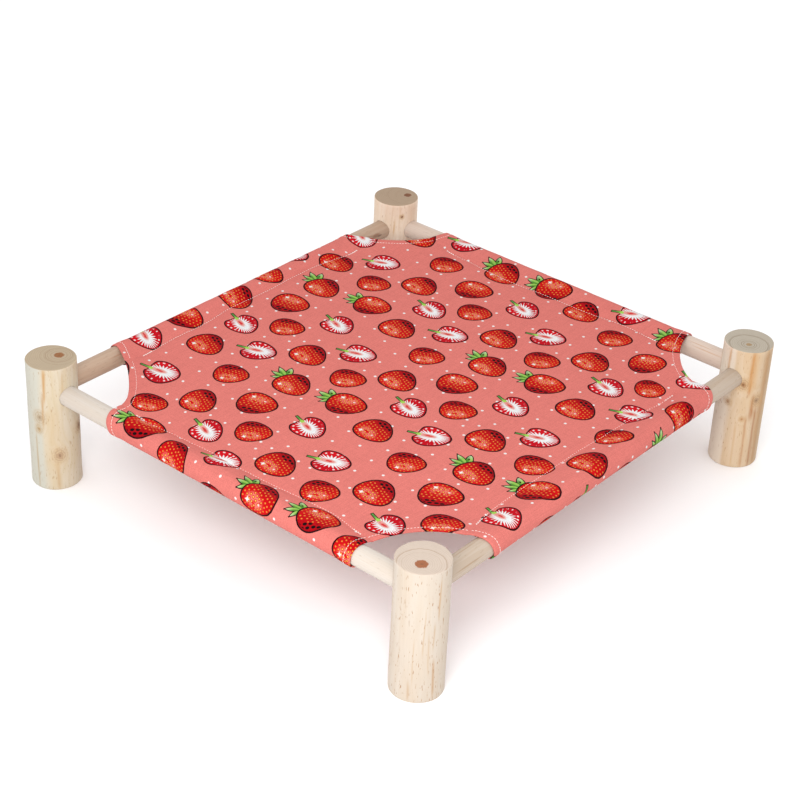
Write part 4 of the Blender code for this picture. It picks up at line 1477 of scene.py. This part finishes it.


# ---------------------------------------------------------------- build
# level (side, end) is set leg by leg: partly the wood's tone, partly painted light and shade that offsets how the lamps
# light each leg and its sides against its ends
LEGS = {
    "front_left": dict(
        pith=(1.8, 8.6), tones=((246, 231, 206), (234, 208, 164), (192, 146, 96)),
        end_tones=((206, 186, 158), (160, 130, 100)), pith_patch=(4.6, (176, 112, 62)),
        rings=((7.6, 0.30), (10.4, 0.25), (12.4, 0.42), (13.6, 0.25), (17.6, 0.20)),
        knots=((-73, 79.5, 4.6, (196, 164, 124), 0.80), (-77, 66.5, 3.0, (206, 162, 92), 0.80),
               (31, 61.5, 4.2, (150, 98, 60), 1.0), (-31, 38.5, 4.6, (202, 160, 124), 0.95),
               (128, 88.0, 4.0, (186, 146, 102), 0.8), (-160, 30.0, 3.0, (190, 150, 108), 0.7)),
        streaks_and_painted_shade=((-58, 1.3, 96, 132, (222, 166, 96), 0.75), (-62, 1.0, 70, 104, (214, 160, 96), 0.6),
                 (-20, 1.2, 88, 128, (220, 176, 116), 0.4), (-34, 2.4, 0, 30, (222, 178, 122), 0.5),
                 (-84, 1.1, 0, 60, (206, 172, 126), 0.6), (-40, 6.0, 20, 90, (240, 206, 158), 0.35)),
        pale=(-100, 17.0, (232, 230, 216), 0.85), fleck=0.60, seed=3.0, grain=0.26, level=(0.585, 0.685)),
    "front_right": dict(
        pith=(4.6, -8.0), tones=((248, 233, 216), (241, 218, 192), (196, 148, 104)),
        end_tones=((224, 206, 190), (176, 148, 124)), pith_patch=(5.4, (178, 100, 50)),
        rings=((16.0, 0.12), (20.6, 0.60)),
        knots=((150, 70.0, 3.6, (190, 146, 100), 0.8), (95, 30.0, 3.0, (190, 146, 100), 0.7)),
        streaks_and_painted_shade=((-12, 0.9, 84, 124, (224, 176, 122), 0.65), (-17, 1.1, 6, 44, (218, 166, 110), 0.65),
                 (-40, 0.7, 50, 96, (226, 186, 140), 0.5), (-20, 0.8, 55, 80, (224, 180, 130), 0.55),
                 (-66, 1.0, 2, 22, (222, 178, 130), 0.5), (-58, 0.6, 20, 64, (228, 188, 144), 0.45),
                 (-30, 0.6, 30, 70, (226, 184, 138), 0.4)),
        fleck=0.85, seed=11.0, grain=0.26, level=(0.545, 0.700)),
    # back_right: the pale band at -114 degrees is painted light on the left flank, and the broad full-height streak at
    # 0 degrees is painted shade on the right flank
    "back_right": dict(
        pith=(3.7, -6.7), tones=((240, 214, 182), (230, 194, 150), (186, 132, 84)),
        end_tones=((206, 194, 176), (146, 128, 106)), pith_patch=(2.7, (196, 162, 118)),
        rings=((5.2, 0.45), (7.2, 0.5), (10.5, 0.2), (18.4, 0.65), (19.6, 0.3)),
        knots=((-60, 95.8, 4.1, (176, 118, 66), 1.0), (-92, 73.0, 2.7, (176, 122, 76), 0.95),
               (-22, 77.5, 4.0, (176, 138, 104), 0.95), (-52, 56.8, 2.0, (200, 138, 78), 0.8),
               (100, 82.0, 3.8, (176, 132, 84), 0.8), (-170, 40.0, 3.2, (180, 134, 88), 0.8)),
        streaks_and_painted_shade=((-44, 1.8, 84, 132, (208, 140, 74), 0.80), (-40, 4.0, 90, 132, (226, 172, 108), 0.55),
                 (-6, 3.0, 0, 132, (212, 158, 96), 0.60), (-30, 2.0, 56, 84, (190, 120, 60), 0.75),
                 (-40, 1.4, 0, 60, (204, 142, 82), 0.6), (-20, 1.4, 0, 70, (186, 118, 66), 0.7),
                 (-104, 1.6, 100, 132, (214, 150, 84), 0.6), (-62, 1.2, 0, 50, (226, 180, 128), 0.5),
                 (0, 9.0, 0, 132, (190, 146, 100), 0.60)),
        pale=(-114, 14.0, (252, 236, 216), 0.90), fleck=0.55, seed=23.0, grain=0.30, level=(0.665, 0.700)),
    "back_left": dict(
        pith=(6.7, 11.3), tones=((240, 219, 198), (228, 198, 168), (170, 122, 84)),
        end_tones=((186, 161, 136), (150, 122, 94)), pith_patch=(4.1, (140, 84, 52)),
        rings=((8.0, 0.15), (13.0, 0.18), (22.0, 0.25)),
        knots=((-33, 118.3, 1.7, (110, 56, 32), 1.25), (60, 60.0, 3.8, (176, 134, 94), 0.8),
               (-120, 50.0, 3.2, (180, 138, 98), 0.7)),
        streaks_and_painted_shade=((-52, 1.0, 96, 114, (208, 164, 118), 0.75), (-40, 0.8, 100, 132, (216, 180, 142), 0.45),
                 (-60, 0.8, 98, 130, (216, 180, 144), 0.45), (2, 9.0, 0, 132, (206, 168, 140), 0.50)),
        fleck=0.45, seed=37.0, grain=0.28, level=(0.82, 0.765)),
}

for index, (corner, (sx, sy)) in enumerate(CORNERS.items()):
    spec = LEGS[corner]
    wood = pine("pine_" + corner, (sx * HX, sy * HY), **spec)
    make_leg(corner, wood, 60 + index, [k[:3] for k in spec["knots"]])

# level is set rail by rail: partly the wood's tone, partly painted light and shade that offsets how the lamps light
# each rail
RAILS = {
    "front": dict(offset=-HY, tones=((246, 234, 222), (236, 216, 194)), seed=2.0, grain=0.20, level=0.585),
    "right": dict(offset=HX, tones=((226, 206, 186), (206, 176, 146)), seed=5.0, grain=0.28, level=0.585,
                  marks=((-196.0, 20.0, 26.0, 1.0, (184, 146, 104), 0.55), (-190.0, 100.0, 22.0, 0.8, (190, 150, 108), 0.5),
                         (176.0, 150.0, 24.0, 2.0, (186, 158, 130), 0.5))),
    "back": dict(offset=HY, tones=((244, 222, 206), (232, 202, 180)), seed=9.0, grain=0.24, level=0.635,
                 marks=((186.0, 140.0, 26.0, 0.9, (214, 160, 112), 0.5), (176.0, 120.0, 20.0, 0.8, (206, 152, 104), 0.45),
                        (-170.0, -40.0, 18.0, 1.0, (214, 164, 118), 0.45))),
    "left": dict(offset=-HX, tones=((224, 192, 166), (204, 164, 134)), seed=14.0, grain=0.26, level=0.57,
                 marks=((203.0, 14.0, 9.0, 3.0, (160, 108, 78), 0.70), (209.0, 4.0, 5.0, 1.6, (118, 72, 50), 0.65),
                        (192.0, 24.0, 8.0, 1.6, (176, 124, 92), 0.50), (-170.0, 40.0, 16.0, 1.2, (200, 146, 104), 0.4))),
}
for index, (side, spec) in enumerate(RAILS.items()):
    wood = dowel_wood("dowel_" + side, SIDES[side][2], **spec)
    make_rail(side, wood, 80 + index)

pattern = print_group()
cover = make_cover([canvas("canvas_printed", pattern), canvas("canvas_reverse", pattern, True)])
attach(cover, "root")
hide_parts("cover_panel", "cover_sleeve_front", "cover_sleeve_right", "cover_sleeve_back", "cover_sleeve_left")

thread = thread_material()
stitches = [seam_stitches(side, thread) for side in SIDES] + [hem_stitches(c, thread) for c in CORNERS]

# the cloth's flat coordinates, read from its own faces
layer = cover.data.uv_layers["flat"]
flat_uv = np.empty(len(cover.data.loops) * 2, np.float32)
layer.uv.foreach_get("vector", flat_uv)
flat_uv = flat_uv.reshape(-1, 2).astype(float)

# ---------------------------------------------------------------- floor, light, camera
floor_mat, n, b = new_material("studio_floor", 0.95, 0.1)
x, y, z = n.parts(n.place())
paper = n.noise(n.xyz(x, y, 0.0), 3.0, 3.0)
n.put(b.inputs["Base Color"], n.mix(paper, (0.97, 0.97, 0.97, 1.0), (0.955, 0.955, 0.96, 1.0)))
floor = make_mesh("studio_floor", [(-7, -7, 0), (7, -7, 0), (7, 7, 0), (-7, 7, 0)], [(0, 1, 2, 3)], [floor_mat],
                  smooth=False)

scene = bpy.context.scene
world = bpy.data.worlds.new("studio")
world.use_nodes = True
back_node = world.node_tree.nodes["Background"]
back_node.inputs["Color"].default_value = (1.0, 1.0, 1.0, 1.0)
back_node.inputs["Strength"].default_value = 1.08
scene.world = world
scene.view_settings.view_transform = "Standard"


def area_light(name, place, aim, size, power, colour=(1, 1, 1)):
    data = bpy.data.lights.new(name, "AREA")
    data.shape = "DISK"
    data.size = size
    data.energy = power
    data.color = colour
    ob = bpy.data.objects.new(name, data)
    ob.location = place
    ob.rotation_euler = (Vector(aim) - Vector(place)).to_track_quat("-Z", "Y").to_euler()
    scene.collection.objects.link(ob)
    return ob


area_light("key_light", (0.52, -0.86, 0.70), (0.05, -0.10, 0.09), 0.7, 7.6)

az, el, roll = math.radians(39.06), math.radians(31.42), math.radians(-2.84)
aim = Vector((-0.0131, 0.0081, 0.0660))
back_dir = Vector((math.sin(az) * math.cos(el), -math.cos(az) * math.cos(el), math.sin(el)))
ahead = -back_dir
right = ahead.cross(Vector((0, 0, 1))).normalized()
down = ahead.cross(right)
right2 = math.cos(roll) * right + math.sin(roll) * down
down2 = -math.sin(roll) * right + math.cos(roll) * down
cam_data = bpy.data.cameras.new("camera")
cam_data.sensor_fit = "HORIZONTAL"
cam_data.sensor_width = 36.0
cam_data.lens = 87.64
cam_data.clip_start = 0.05
cam_data.clip_end = 60.0
cam = bpy.data.objects.new("camera", cam_data)
axes = Matrix((right2, -down2, back_dir)).transposed()
cam.matrix_world = Matrix.Translation(aim + back_dir * 1.8957) @ axes.to_4x4()
scene.collection.objects.link(cam)
scene.camera = cam
